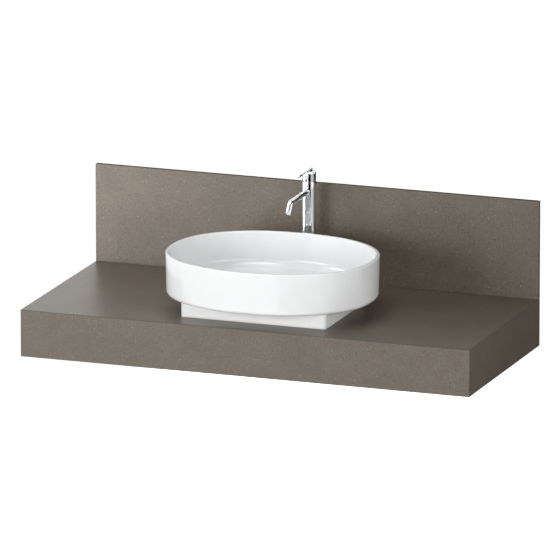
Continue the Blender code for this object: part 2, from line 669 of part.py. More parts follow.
# Push-open waste, clamped through the bowl and the stone by a nut from below
flange_top = FLOOR_EDGE_HEIGHT - FLOOR_FALL
flange_underside = flange_top - FLANGE_THICKNESS
tube = WASTE_BODY_DIAMETER / 2
flange_edge = FLANGE_DIAMETER / 2
flange_ease = FLANGE_THICKNESS / 3
waste_profile = [
    (FLANGE_CONE_DIAMETER / 2, flange_top),
    (flange_edge - flange_ease, flange_top),
    (flange_edge, flange_top - flange_ease),
    (flange_edge, flange_underside),
    (tube, flange_underside),
    (tube, -WASTE_DROP),
    (WASTE_BORE / 2, -WASTE_DROP),
    (WASTE_BORE / 2, flange_top - FLANGE_CONE_DEPTH),
    (FLANGE_NECK_DIAMETER / 2, flange_underside),
]
solid("waste_body", turned(waste_profile, looped=True), CHROME, basin_place)
seal_top = flange_underside - SEAT_GAP
seal_bore = WASTE_BODY_DIAMETER + 2 * SEAT_GAP
flange_seal = washer(FLANGE_DIAMETER, seal_bore, seal_top - FLANGE_SEAL_THICKNESS, seal_top)
solid("flange_seal", flange_seal, RUBBER, basin_place)

# The clamp stack hangs under the stone: seal, washer and nut
level = STONE_UNDERSIDE
clamp_stack = (
    ("counter_seal", COUNTER_SEAL_THICKNESS, RUBBER),
    ("waste_washer", WASTE_WASHER_THICKNESS, PLASTIC),
)
for name, thickness, material in clamp_stack:
    level -= SEAT_GAP
    clamp_ring = washer(CLAMP_DIAMETER, seal_bore, level - thickness, level)
    solid(name, clamp_ring, material, basin_place)
    level -= thickness
level -= SEAT_GAP
nut_shape = prism(hexagon(WASTE_NUT_FLATS), level - WASTE_NUT_HEIGHT, level)
nut = solid("waste_nut", nut_shape, BRASS, basin_place)
nut_bore = rod(seal_bore, level - WASTE_NUT_HEIGHT - CUT_OVERRUN, level + CUT_OVERRUN, ROUND_STEPS)
cut(nut, "waste_nut_bore", nut_bore)

# The guide sits in the bore and holds the plug's spindle
guide_top = flange_top - GUIDE_DROP
guide_low = guide_top - GUIDE_HUB_HEIGHT
guide_radius = WASTE_BORE / 2 - SEAT_GAP
guide_ring_low = guide_top - GUIDE_RING_HEIGHT
guide_ring_bore = 2 * (guide_radius - GUIDE_RING_THICKNESS)
guide_bore = SPINDLE_DIAMETER + 2 * SEAT_GAP
guide_hub = washer(GUIDE_HUB_DIAMETER, guide_bore, guide_low, guide_top)
guide = solid("waste_guide", guide_hub, PLASTIC, basin_place)
spoke_low = guide_ring_low + (GUIDE_RING_HEIGHT - GUIDE_SPOKE_HEIGHT) / 2
spoke_start = (guide_bore + GUIDE_HUB_DIAMETER) / 4
spoke_end = guide_radius - GUIDE_RING_THICKNESS / 2
for number in range(GUIDE_SPOKES):
    low = (spoke_start, -GUIDE_SPOKE_WIDTH / 2, spoke_low)
    high = (spoke_end, GUIDE_SPOKE_WIDTH / 2, spoke_low + GUIDE_SPOKE_HEIGHT)
    turn = (0, 0, math.tau * number / GUIDE_SPOKES)
    fuse(guide, f"guide_spoke_{number}", block(low, high), turn=turn)
fuse(guide, "guide_ring", washer(2 * guide_radius, guide_ring_bore, guide_ring_low, guide_top))

# Plug, drawn open: it is pressed down by its travel to close
plug_place = place("plug_slide", (0, 0, flange_top), basin_place)
cover_low = PLUG_TRAVEL + SEAT_GAP
cover_top = cover_low + PLUG_COVER_THICKNESS
cover = PLUG_COVER_DIAMETER / 2
cover_ease = PLUG_COVER_THICKNESS / 4
socket = SPINDLE_DIAMETER / 2 + SEAT_GAP
spindle_top = cover_low + PLUG_COVER_SOCKET_DEPTH - SEAT_GAP
cover_profile = [
    (0, cover_top),
    (cover / 2, cover_top - PLUG_COVER_CROWN / 4),
    (cover - cover_ease, cover_top - PLUG_COVER_CROWN),
    (cover, cover_top - PLUG_COVER_CROWN - cover_ease),
    (cover, cover_low + cover_ease),
    (cover - cover_ease, cover_low),
    (socket, cover_low),
    (socket, cover_low + PLUG_COVER_SOCKET_DEPTH),
]
solid("plug_cover", turned(cover_profile), CHROME, plug_place)
plug_seal_top = cover_low - SEAT_GAP
plug_seal_low = plug_seal_top - PLUG_SEAL_THICKNESS
plug_seal_edge = FLANGE_NECK_DIAMETER / 2 - SEAT_GAP
plug_seal_profile = [
    (plug_seal_edge, plug_seal_top),
    (plug_seal_edge - PLUG_SEAL_SLOPE, plug_seal_low),
    (socket, plug_seal_low),
    (socket, plug_seal_top),
]
solid("plug_seal", turned(plug_seal_profile, looped=True), RUBBER, plug_place)
stop_top = guide_low - flange_top - SEAT_GAP
stop_low = stop_top - PLUG_STOP_HEIGHT
spindle = rod(SPINDLE_DIAMETER, stop_low - SPINDLE_TAIL, spindle_top)
solid("plug_spindle", spindle, BRASS, plug_place)
plug_stop = washer(PLUG_STOP_DIAMETER, 2 * socket, stop_low, stop_top, SMALL_STEPS)
solid("plug_stop", plug_stop, ZINC, plug_place)


# Tap column with the cartridge's seat near its top
tap_place = place("tap_place", (0, TAP_Y, APRON_HEIGHT))
tap_radius = TAP_DIAMETER / 2
column_low = TAP_GASKET_THICKNESS + 2 * SEAT_GAP
column_top = SEAM_HEIGHT - SEAM_GAP / 2
seat_level = SEAM_HEIGHT - CARTRIDGE_SEAT_DEPTH
web_level = seat_level - SEAT_WEB_THICKNESS
hollow = tap_radius - TAP_WALL
column_profile = [
    (CARTRIDGE_BORE / 2, seat_level),
    (CARTRIDGE_BORE / 2, column_top),
    (tap_radius - SEAM_CHAMFER, column_top),
    (tap_radius, column_top - SEAM_CHAMFER),
    (tap_radius, column_low),
    (hollow, column_low),
    (hollow, web_level),
]
column = solid("tap_column", turned(column_profile, COLUMN_STEPS), CHROME, tap_place)
forward = (math.pi / 2, 0, 0)
socket_floor = tap_radius - SPOUT_SOCKET_DEPTH
socket_diameter = SPOUT_DIAMETER + 2 * SEAT_GAP
spout_socket = rod(socket_diameter, socket_floor, tap_radius + CUT_OVERRUN, ROUND_STEPS)
cut(column, "spout_socket", spout_socket, (0, 0, SPOUT_HEIGHT), forward)
spout_passage = rod(MIXED_PORT_DIAMETER, MIXED_PORT_FORWARD, socket_floor + CUT_OVERRUN)
cut(column, "spout_passage", spout_passage, (0, 0, SPOUT_HEIGHT), forward)
mixed_port = rod(MIXED_PORT_DIAMETER, SPOUT_HEIGHT, seat_level + CUT_OVERRUN)
cut(column, "mixed_port", mixed_port, (0, -MIXED_PORT_FORWARD, 0))
port_places = [(0, -MIXED_PORT_FORWARD, MIXED_PORT_DIAMETER)]
port_circle = (CARTRIDGE_BORE - SUPPLY_PORT_DIAMETER) / 2 - SUPPLY_PORT_EDGE
port_y = port_circle * math.sin(SUPPLY_PORT_ANGLE)
for side in (-1, 1):
    port_x = side * port_circle * math.cos(SUPPLY_PORT_ANGLE)
    port_places.append((port_x, port_y, SUPPLY_PORT_DIAMETER))
    supply = rod(SUPPLY_PORT_DIAMETER, web_level - CUT_OVERRUN, seat_level + CUT_OVERRUN)
    cut(column, f"supply_port_{side}", supply, (port_x, port_y, 0))

gasket_bore = 2 * hollow - 2 * SEAT_GAP
gasket = washer(TAP_GASKET_DIAMETER, gasket_bore, SEAT_GAP, SEAT_GAP + TAP_GASKET_THICKNESS)
solid("tap_base_gasket", gasket, RUBBER, tap_place)

# The foot closes the column's lower end: two hose holes and the stud's hole
foot_shape = rod(2 * (hollow - SEAT_GAP), column_low, column_low + TAP_FOOT_HEIGHT, ROUND_STEPS)
tap_foot = solid("tap_foot", foot_shape, BRASS, tap_place)
foot_cut = (column_low - CUT_OVERRUN, column_low + TAP_FOOT_HEIGHT + CUT_OVERRUN)
for side in (-1, 1):
    hose_hole = rod(HOSE_HOLE_DIAMETER, *foot_cut)
    spot = (side * HOSE_HOLE_SPREAD / 2, -HOSE_HOLE_FORWARD, 0)
    cut(tap_foot, f"hose_hole_{side}", hose_hole, spot)
stud_bore = STUD_DIAMETER + 2 * SEAT_GAP
cut(tap_foot, "foot_stud_hole", rod(stud_bore, *foot_cut), (0, STUD_BACK, 0))
stud_shape = rod(STUD_DIAMETER, -STUD_DROP, column_low + TAP_FOOT_HEIGHT, chamfer=STUD_DIAMETER / 8)
solid("mounting_stud", stud_shape, ZINC, tap_place, (0, STUD_BACK, 0))


def horseshoe(low, high):
    """A round plate with a slot that is open to the front, to pass the hoses."""
    outer, slot = HORSESHOE_DIAMETER / 2, HORSESHOE_SLOT_WIDTH / 2
    turn = math.asin(slot / outer)
    corner = slot / 3
    outline = arc((0, 0), outer, -math.pi / 2 + turn, math.pi * 3 / 2 - turn, ROUND_STEPS)
    inner = HORSESHOE_SLOT_END - corner
    outline += arc((corner - slot, inner), corner, math.pi, math.pi / 2)
    outline += arc((slot - corner, inner), corner, math.pi / 2, 0)
    return prism(outline, low, high)


# The horseshoes and the nut clamp the tap to the stone
level = STONE_UNDERSIDE
horseshoes = (
    ("rubber_horseshoe", RUBBER_HORSESHOE_THICKNESS, RUBBER),
    ("steel_horseshoe", STEEL_HORSESHOE_THICKNESS, ZINC),
)
for name, thickness, material in horseshoes:
    level -= SEAT_GAP
    plate = solid(name, horseshoe(level - thickness, level), material, tap_place)
    stud_hole = rod(stud_bore, level - thickness - CUT_OVERRUN, level + CUT_OVERRUN)
    cut(plate, name + "_stud_hole", stud_hole, (0, STUD_BACK, 0))
    level -= thickness
level -= SEAT_GAP
nut_shape = prism(hexagon(STUD_NUT_FLATS), level - STUD_NUT_HEIGHT, level)
stud_nut = solid("stud_nut", nut_shape, BRASS, tap_place, (0, STUD_BACK, 0))
stud_nut_bore = rod(stud_bore, level - STUD_NUT_HEIGHT - CUT_OVERRUN, level + CUT_OVERRUN)
cut(stud_nut, "stud_nut_bore", stud_nut_bore)


# Cartridge: seal, body, nut and the dome that hides them when the lever lifts
cartridge_radius = CARTRIDGE_BORE / 2 - SEAT_GAP
seal_low = seat_level + SEAT_GAP
seal_high = seal_low + CARTRIDGE_SEAL_THICKNESS
seal_shape = rod(2 * cartridge_radius, seal_low, seal_high, ROUND_STEPS)
cartridge_seal = solid("cartridge_seal", seal_shape, RUBBER, tap_place)
cartridge_low = seal_high + SEAT_GAP
shoulder = cartridge_low + CARTRIDGE_SHOULDER_HEIGHT
neck = CARTRIDGE_NECK_DIAMETER / 2
neck_top = SEAM_HEIGHT - CARTRIDGE_NECK_TOP
well = TURRET_DIAMETER / 2 + SEAT_GAP
well_floor = neck_top - TURRET_WELL_DEPTH
cartridge_profile = [
    (well, well_floor),
    (well, neck_top),
    (neck, neck_top),
    (neck, shoulder),
    (cartridge_radius, shoulder),
    (cartridge_radius, cartridge_low),
]
cartridge = solid("cartridge_body", turned(cartridge_profile), PLASTIC, tap_place)
for number, (port_x, port_y, diameter) in enumerate(port_places):
    seal_port = rod(diameter, seal_low - CUT_OVERRUN, seal_high + CUT_OVERRUN)
    cut(cartridge_seal, f"seal_port_{number}", seal_port, (port_x, port_y, 0))
    body_port = rod(diameter, cartridge_low - CUT_OVERRUN, cartridge_low + CARTRIDGE_PORT_DEPTH)
    cut(cartridge, f"cartridge_port_{number}", body_port, (port_x, port_y, 0))
nut_low = shoulder + SEAT_GAP
nut_high = nut_low + CARTRIDGE_NUT_HEIGHT
nut_bore = CARTRIDGE_NECK_DIAMETER + 2 * SEAT_GAP
cartridge_nut = washer(2 * cartridge_radius, nut_bore, nut_low, nut_high)
solid("cartridge_nut", cartridge_nut, BRASS, tap_place)
dome = DOME_DIAMETER / 2
dome_low = nut_high + SEAT_GAP
dome_opening = dome * math.sin(LEVER_LIFT_ANGLE) + STEM_WIDTH / 2 + DOME_OPENING_CLEARANCE
dome_stop = math.asin(dome_opening / dome)
outer_dome = arc((0, SEAM_HEIGHT), dome, 0, math.pi / 2 - dome_stop, BEND_STEPS)
inner_stop = math.asin(dome_opening / (dome - DOME_WALL))
inner_dome = arc((0, SEAM_HEIGHT), dome - DOME_WALL, math.pi / 2 - inner_stop, 0, BEND_STEPS)
dome_profile = [(dome, dome_low)] + outer_dome + inner_dome + [(dome - DOME_WALL, dome_low)]
solid("dome_cover", turned(dome_profile, looped=True), CHROME, tap_place)


# The turret turns in the cartridge, and the lever lifts on the pin through it. Heights from here on
# are measured from the seam, where both axes cross
turn_axis = place("lever_turn_axis", (0, 0, SEAM_HEIGHT), tap_place)
turret_low = well_floor + SEAT_GAP - SEAM_HEIGHT
turret_shape = rod(TURRET_DIAMETER, turret_low, TURRET_RISE, ROUND_STEPS)
turret = solid("lever_turret", turret_shape, BRASS, turn_axis)
fork = STEM_WIDTH / 2 + SEAT_GAP
fork_low = (-fork, -TURRET_DIAMETER, turret_low + TURRET_FOOT)
fork_high = (fork, TURRET_DIAMETER, TURRET_RISE + CUT_OVERRUN)
cut(turret, "turret_fork", block(fork_low, fork_high))
sideways = (0, math.pi / 2, 0)
pin_hole = rod(PIVOT_PIN_DIAMETER + 2 * SEAT_GAP, -TURRET_DIAMETER, TURRET_DIAMETER)
cut(turret, "turret_pin_hole", pin_hole, turn=sideways)
pivot_pin = rod(PIVOT_PIN_DIAMETER, -PIVOT_PIN_LENGTH / 2, PIVOT_PIN_LENGTH / 2)
bmesh.ops.rotate(pivot_pin, matrix=Matrix.Rotation(math.pi / 2, 3, "Y"), verts=pivot_pin.verts)
solid("lever_pivot_pin", pivot_pin, ZINC, turn_axis)

lift_axis = place("lever_lift_axis", (0, 0, 0), turn_axis)
cap_low = SEAM_GAP / 2
cap_top = cap_low + CAP_HEIGHT
cap_ceiling = dome + DOME_CLEARANCE
stem_edge = STEM_WIDTH / 2
stem_low = turret_low + TURRET_FOOT + STEM_FOOT_CLEARANCE
stem_high = cap_top - LEVER_PEG_LENGTH - STEM_TOP_CLEARANCE
stem_shape = block((-stem_edge, -stem_edge, stem_low), (stem_edge, stem_edge, stem_high))
stem = solid("lever_stem", stem_shape, ZINC, lift_axis)
stem_hole = rod(PIVOT_PIN_DIAMETER + 2 * SEAT_GAP, -STEM_WIDTH, STEM_WIDTH)
cut(stem, "stem_pin_hole", stem_hole, turn=sideways)

# Cap: a deep shell whose rear lower edge is cut back, so that it can tilt over the column
rim_centre = (tap_radius - CAP_EDGE_RADIUS, cap_top - CAP_EDGE_RADIUS)
cap_rim = arc(rim_centre, CAP_EDGE_RADIUS, math.pi / 2, 0)
cap_profile = cap_rim + [
    (tap_radius, cap_low + SEAM_CHAMFER),
    (tap_radius - SEAM_CHAMFER, cap_low),
    (CAP_BORE / 2, cap_low),
    (CAP_BORE / 2, cap_ceiling),
]
cap = solid("lever_cap", turned(cap_profile, COLUMN_STEPS), CHROME, lift_axis)
relief = block((-TAP_DIAMETER, 0, -TAP_DIAMETER), (TAP_DIAMETER, 2 * TAP_DIAMETER, cap_low))
cut(cap, "cap_relief", relief, turn=(LEVER_RELIEF_ANGLE, 0, 0))
stem_socket = stem_edge + SEAT_GAP
stem_cut_low = (-stem_socket, -stem_socket, cap_ceiling - CUT_OVERRUN)
stem_cut = block(stem_cut_low, (stem_socket, stem_socket, stem_high + SEAT_GAP))
cut(cap, "cap_stem_socket", stem_cut)
peg_hole_low = cap_top - LEVER_PEG_LENGTH - SEAT_GAP
peg_hole = rod(LEVER_PEG_DIAMETER + 2 * SEAT_GAP, peg_hole_low, cap_top + CUT_OVERRUN)
cut(cap, "cap_peg_hole", peg_hole)
grub_start = stem_edge + SEAT_GAP
grub_height = (cap_ceiling + stem_high) / 2
backward = (-math.pi / 2, 0, 0)
grub_hole = rod(GRUB_DIAMETER + 2 * SEAT_GAP, stem_edge, tap_radius + CUT_OVERRUN)
cut(cap, "cap_grub_hole", grub_hole, (0, 0, grub_height), backward)
grub_shape = rod(GRUB_DIAMETER, grub_start, grub_start + GRUB_LENGTH, chamfer=GRUB_DIAMETER / 10)
grub = solid("lever_grub_screw", grub_shape, ZINC, lift_axis, (0, 0, grub_height))
grub.rotation_euler = backward
grub_end = grub_start + GRUB_LENGTH
socket_outline = hexagon(GRUB_SOCKET_FLATS)
grub_socket = prism(socket_outline, grub_end - GRUB_SOCKET_DEPTH, grub_end + CUT_OVERRUN)
cut(grub, "grub_socket", grub_socket)

# Bar: it lies on the cap and is held by a peg under it
bar_height = cap_top + SEAT_GAP + LEVER_DIAMETER / 2
bar_shape = rod(LEVER_DIAMETER, -LEVER_REAR, LEVER_FRONT, ROUND_STEPS, LEVER_END_CHAMFER)
bar = solid("lever_bar", bar_shape, CHROME, lift_axis, (0, 0, bar_height))
bar.rotation_euler = forward
peg_reach = LEVER_DIAMETER / 2 + SEAT_GAP + LEVER_PEG_LENGTH
fuse(bar, "lever_peg", rod(LEVER_PEG_DIAMETER, 0, peg_reach), turn=forward)


# Spout: a thin tube that runs level and then turns down over the bowl
def spout_stations():
    """Places along the spout's middle line, each with the angle that the tube has fallen by."""
    start = socket_floor + SEAT_GAP
    setback = SPOUT_BEND_RADIUS * math.tan(SPOUT_BEND_ANGLE / 2)
    bend_start = SPOUT_RUN - setback
    stations = [((start, 0), 0), ((bend_start, 0), 0)]
    for step in range(1, BEND_STEPS + 1):
        fall = SPOUT_BEND_ANGLE * step / BEND_STEPS
        reach = bend_start + SPOUT_BEND_RADIUS * math.sin(fall)
        drop = SPOUT_BEND_RADIUS * (1 - math.cos(fall))
        stations.append(((reach, -drop), fall))
    (reach, height), fall = stations[-1]
    nozzle = NOZZLE_LENGTH - setback
    for length in (nozzle - AERATOR_SEAT_DEPTH, nozzle):
        end = (reach + length * math.cos(fall), height - length * math.sin(fall))
        stations.append((end, fall))
    return stations


def tube_ring(station, radius):
    """A circle square to the spout's middle line."""
    (reach, height), fall = station
    ring = []
    for point in circle(radius, 0, ROUND_STEPS):
        lean = Vector((point.x, -math.sin(fall) * point.y, math.cos(fall) * point.y))
        ring.append(lean + Vector((0, -reach, height)))
    return ring


stations = spout_stations()
spout_rings = [tube_ring(station, SPOUT_DIAMETER / 2) for station in stations]
spout_rings.append(tube_ring(stations[-1], AERATOR_SEAT_DIAMETER / 2))
spout_rings.append(tube_ring(stations[-2], AERATOR_SEAT_DIAMETER / 2))
spout_rings += [tube_ring(station, SPOUT_BORE / 2) for station in reversed(stations[:-1])]
solid("tap_spout", skin(spout_rings, looped=True), CHROME, tap_place, (0, 0, SPOUT_HEIGHT))

# Aerator: its own Z axis runs out of the nozzle, from the outlet's rim
(outlet_reach, outlet_drop), outlet_fall = stations[-1]
aerator_place = place("aerator_place", (0, -outlet_reach, SPOUT_HEIGHT + outlet_drop), tap_place)
aerator_place.rotation_euler = (math.pi / 2 + outlet_fall, 0, 0)
housing_diameter = AERATOR_SEAT_DIAMETER - 2 * SEAT_GAP
insert_diameter = housing_diameter - 2 * AERATOR_WALL
housing_low = SEAT_GAP - AERATOR_SEAT_DEPTH
housing = washer(housing_diameter, insert_diameter, housing_low, -AERATOR_SET_BACK)
solid("aerator_housing", housing, CHROME, aerator_place)
insert_high = -2 * AERATOR_SET_BACK
insert_low = insert_high - AERATOR_INSERT_THICKNESS
insert_shape = rod(insert_diameter - 2 * SEAT_GAP, insert_low, insert_high, ROUND_STEPS)
insert = solid("aerator_insert", insert_shape, PLASTIC, aerator_place)
jet_circle = insert_diameter / 2 * AERATOR_JET_CIRCLE_SHARE
jet_places = [(0, 0)] + arc((0, 0), jet_circle, 0, math.tau, AERATOR_JETS)[:-1]
for number, (jet_x, jet_y) in enumerate(jet_places):
    jet = rod(AERATOR_JET_DIAMETER, insert_low - CUT_OVERRUN, insert_high + CUT_OVERRUN, 2 * ARC_STEPS)
    cut(insert, f"aerator_jet_{number}", jet, (jet_x, jet_y, 0))
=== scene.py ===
# %% [markdown]
# # A hung vanity console, dressed for its portrait
#
# The solids of this object come from a CAD model: a stone counter with its back panel, a
# sit-on basin, a tall tap, and all that holds them together. This lesson loads those solids as
# a fixed frame, and then gives them what a solid doesn't have: fine edges, thread, grain and
# gloss. Every length is in metres, and Z points up.

import bmesh
import bpy
import math
from mathutils import Color, Matrix, Vector


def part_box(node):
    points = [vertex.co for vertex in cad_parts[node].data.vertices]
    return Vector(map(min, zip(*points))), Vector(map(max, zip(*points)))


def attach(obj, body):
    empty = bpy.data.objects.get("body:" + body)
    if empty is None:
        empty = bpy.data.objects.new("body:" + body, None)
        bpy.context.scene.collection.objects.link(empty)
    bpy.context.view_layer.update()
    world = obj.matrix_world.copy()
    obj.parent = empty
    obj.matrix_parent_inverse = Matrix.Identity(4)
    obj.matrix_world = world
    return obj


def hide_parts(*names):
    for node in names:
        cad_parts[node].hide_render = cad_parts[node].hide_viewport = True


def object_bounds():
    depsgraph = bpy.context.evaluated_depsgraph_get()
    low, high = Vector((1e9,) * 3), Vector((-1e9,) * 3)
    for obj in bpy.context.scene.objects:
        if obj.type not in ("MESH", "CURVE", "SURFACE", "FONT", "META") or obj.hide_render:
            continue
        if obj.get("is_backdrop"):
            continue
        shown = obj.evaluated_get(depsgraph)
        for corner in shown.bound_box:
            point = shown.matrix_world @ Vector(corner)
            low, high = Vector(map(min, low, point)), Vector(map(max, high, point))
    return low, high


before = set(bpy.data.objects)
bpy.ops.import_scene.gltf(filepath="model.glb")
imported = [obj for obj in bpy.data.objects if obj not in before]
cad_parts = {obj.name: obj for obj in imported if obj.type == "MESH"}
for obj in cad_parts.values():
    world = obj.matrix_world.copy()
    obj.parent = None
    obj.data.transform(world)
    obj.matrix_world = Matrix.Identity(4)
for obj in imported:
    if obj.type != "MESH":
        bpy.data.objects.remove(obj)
cad_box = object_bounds()

# %% [markdown]
# Two small helpers are used in nearly every cell. A colour is written as an sRGB hex code,
# because that is what a colour picker gives, but a shader calculates in linear light.
#
# Shaders and geometry rules are both trees of nodes. `add` makes one node, sets its choices,
# and then fills each input with a value or with a link from another node.

# %% Colour and node helpers
def linear(code):
    """The linear colour, with full opacity, of an sRGB hex code."""
    shade = Color([int(code[start : start + 2], 16) / 255 for start in (0, 2, 4)])
    return [*shade.from_srgb_to_scene_linear(), 1.0]


def pick(sockets, key):
    """A socket by its number, or by its name among those in use."""
    if isinstance(key, int):
        return sockets[key]
    return next(found for found in sockets if found.enabled and key in ("", found.name))


def add(tree, kind, inputs=None, **choices):
    """Add a node, set its choices, and give each named input a value or a link."""
    node = tree.nodes.new(kind)
    for name, value in choices.items():
        setattr(node, name, value)
    for key, value in (inputs or {}).items():
        entry = pick(node.inputs, key)
        if isinstance(value, bpy.types.Node):
            value = pick(value.outputs, "")
        if isinstance(value, bpy.types.NodeSocket):
            tree.links.new(value, entry)
        else:
            entry.default_value = value
    return node


print("linear mid grey:", [round(part, 3) for part in linear("808080")])

# %% [markdown]
# ## Finishes
#
# Each finish starts from what the real material is and how its surface was made. A material
# here is one Principled shader with a pattern in front of it. The pattern reads Object
# coordinates: every piece sits at the origin with its place in its mesh, so these are metres
# of the real object, and a pattern of 3 mm is written as 3 mm.

# %% Start a finish
def start_finish(name, **plain):
    """A new material: its tree, its shader and a node that gives places in metres."""
    material = bpy.data.materials.new(name)
    material.use_nodes = True
    tree = material.node_tree
    shader = tree.nodes["Principled BSDF"]
    for label, value in plain.items():
        shader.inputs[label.replace("_", " ")].default_value = value
    return material, tree, shader, add(tree, "ShaderNodeTexCoord")


def wire(tree, shader, **inputs):
    """Link patterns to the shader's inputs."""
    for label, node in inputs.items():
        source = pick(node.outputs, "") if isinstance(node, bpy.types.Node) else node
        tree.links.new(source, shader.inputs[label.replace("_", " ")])


# %% [markdown]
# ### Honed engineered quartz
#
# The counter, its aprons and the back panel are slabs of crushed quartz bound with resin,
# pressed, and ground to a satin face. The eye sees one calm grey-brown that drifts a little
# from place to place, with a fine grain in it, and here and there a grain of quartz or mica
# that is lighter or darker than the rest.
#
# A Noise texture makes the slow drift. The loose grains are cells of a Voronoi texture: each cell
# has its own random colour, so a threshold on that colour picks the few cells that get a grain,
# and the distance to the cell's centre draws it round. Where the aprons meet the top in a mitre, a
# thin dark line of painted shade stands for the shade in the mitre's narrow groove.

# %% Engineered quartz
QUARTZ_DRIFT = 0.09
QUARTZ_GRAIN = 0.0035
QUARTZ_GRAIN_SHARE = 0.45
# Real loose grains are about 1 mm: they are drawn nearer 2 mm, so that they show from afar
QUARTZ_FLECK_SPACING = 0.0085
# A grain fades in from its edge to its core, both given as shares of that spacing
FLECK_LEAST_EDGE, FLECK_MOST_EDGE, FLECK_CORE = 0.14, 0.26, 0.08
# Each kind of grain: how far its cells are moved aside, its colour, and its share of the cells
FLECKS = ((0.0, "A8A093", 0.45), (0.31, "1C1916", 0.9))
# No cell draws a lot this high, so that no grain shows its full colour
FLECK_FULL_COLOUR = 1.15
# The groove of a mitre is about 0.3 mm: its painted shade is drawn wider, so that it shows from
# afar
QUARTZ_GROOVE_SHADE = 0.0014
QUARTZ_GROOVE_SHADE_SHARE = 0.55
QUARTZ_ROUGHNESS = (0.36, 0.49)
QUARTZ_PIT_DEPTH = 0.00005
COUNTER_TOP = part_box("top_slab")[1].z
COUNTER_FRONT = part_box("front_apron")[0].y
COUNTER_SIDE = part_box("top_slab")[1].x

honed_quartz, tree, shader, places = start_finish("honed_engineered_quartz", IOR=1.5)
drift = add(
    tree,
    "ShaderNodeTexNoise",
    {
        "Vector": places.outputs["Object"],
        "Scale": 1 / QUARTZ_DRIFT,
        "Detail": 4.0,
        "Roughness": 0.62,
    },
)
body = add(tree, "ShaderNodeValToRGB", {"Fac": drift.outputs["Fac"]})
body.color_ramp.elements[0].position = 0.34
body.color_ramp.elements[0].color = linear("584F45")
body.color_ramp.elements[1].position = 0.68
body.color_ramp.elements[1].color = linear("60574B")
grain = add(
    tree,
    "ShaderNodeTexNoise",
    {"Vector": places.outputs["Object"], "Scale": 1 / QUARTZ_GRAIN, "Detail": 2.0},
)
grained = add(
    tree,
    "ShaderNodeMix",
    {"Factor": QUARTZ_GRAIN_SHARE, "A": body.outputs["Color"], "B": grain.outputs["Fac"]},
    data_type="RGBA",
    blend_type="OVERLAY",
)
layer = grained
for offset, code, share in FLECKS:
    moved = add(
        tree,
        "ShaderNodeMapping",
        {"Vector": places.outputs["Object"], "Location": (offset, offset, offset)},
    )
    cells = add(
        tree,
        "ShaderNodeTexVoronoi",
        {"Vector": moved, "Scale": 1 / QUARTZ_FLECK_SPACING},
    )
    lot = add(tree, "ShaderNodeSeparateColor", {"Color": cells.outputs["Color"]})
    chosen = add(
        tree,
        "ShaderNodeMapRange",
        {"Value": lot.outputs["Red"], "From Min": 1 - share, "From Max": FLECK_FULL_COLOUR},
    )
    edge = add(
        tree,
        "ShaderNodeMapRange",
        {"Value": lot.outputs["Green"], "To Min": FLECK_LEAST_EDGE, "To Max": FLECK_MOST_EDGE},
    )
    round_grain = add(
        tree,
        "ShaderNodeMapRange",
        {"Value": cells.outputs["Distance"], "From Min": edge, "From Max": FLECK_CORE},
    )
    fleck = add(tree, "ShaderNodeMath", {0: chosen, 1: round_grain}, operation="MULTIPLY")
    layer = add(
        tree,
        "ShaderNodeMix",
        {"Factor": fleck, "A": pick(layer.outputs, ""), "B": linear(code)},
        data_type="RGBA",
    )
place = add(tree, "ShaderNodeSeparateXYZ", {"Vector": places.outputs["Object"]})
side = add(tree, "ShaderNodeMath", {0: place.outputs["X"]}, operation="ABSOLUTE")
near_joint = []
for value, limit, operation in (
    (place.outputs["Z"], COUNTER_TOP - QUARTZ_GROOVE_SHADE, "GREATER_THAN"),
    (place.outputs["Y"], COUNTER_FRONT + QUARTZ_GROOVE_SHADE, "LESS_THAN"),
    (side, COUNTER_SIDE - QUARTZ_GROOVE_SHADE, "GREATER_THAN"),
    (place.outputs["Z"], COUNTER_TOP + QUARTZ_GROOVE_SHADE, "LESS_THAN"),
):
    near_joint.append(add(tree, "ShaderNodeMath", {0: value, 1: limit}, operation=operation))
outer = add(tree, "ShaderNodeMath", {0: near_joint[1], 1: near_joint[2]}, operation="MAXIMUM")
level = add(tree, "ShaderNodeMath", {0: near_joint[0], 1: near_joint[3]}, operation="MULTIPLY")
joint = add(tree, "ShaderNodeMath", {0: outer, 1: level}, operation="MULTIPLY")
painted_groove_shade = add(tree, "ShaderNodeMath", {0: joint, 1: QUARTZ_GROOVE_SHADE_SHARE}, operation="MULTIPLY")
# Painted shade: a thin dark line along the mitres, where the groove between the top and the aprons
# lies in shade.
layer = add(
    tree,
    "ShaderNodeMix",
    {"Factor": painted_groove_shade, "A": pick(layer.outputs, ""), "B": linear("2E2924")},
    data_type="RGBA",
)
satin = add(
    tree,
    "ShaderNodeMapRange",
    {
        "Value": grain.outputs["Fac"],
        "To Min": QUARTZ_ROUGHNESS[0],
        "To Max": QUARTZ_ROUGHNESS[1],
    },
)
pits = add(
    tree,
    "ShaderNodeBump",
    {"Strength": 0.15, "Distance": QUARTZ_PIT_DEPTH, "Height": grain.outputs["Fac"]},
)
wire(tree, shader, Base_Color=layer, Roughness=satin, Normal=pits)
print(honed_quartz.name, "drifts over", QUARTZ_DRIFT * 1000, "mm")

# %% [markdown]
# ### Glazed ceramic
#
# The basin is sanitary ware: cast in a mould, sprayed with glaze and fired, so a glassy skin
# lies over a white body. The eye sees clean highlights that wander very slightly, because the
# glaze pooled and flowed in the kiln. A wide, very shallow Bump gives that wander. The foot's
# underside is left unglazed, since glaze would stick to the kiln's shelf: there the height
# of a point picks the raw, matt body.

# %% Glazed ceramic
GLAZE_WAVE = 0.035
GLAZE_WAVE_DEPTH = 0.00025
GLAZE_ROUGHNESS = (0.05, 0.10)
RAW_ROUGHNESS = 0.75
RAW_RISE = 0.0004
FOOT_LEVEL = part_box("basin")[0].z

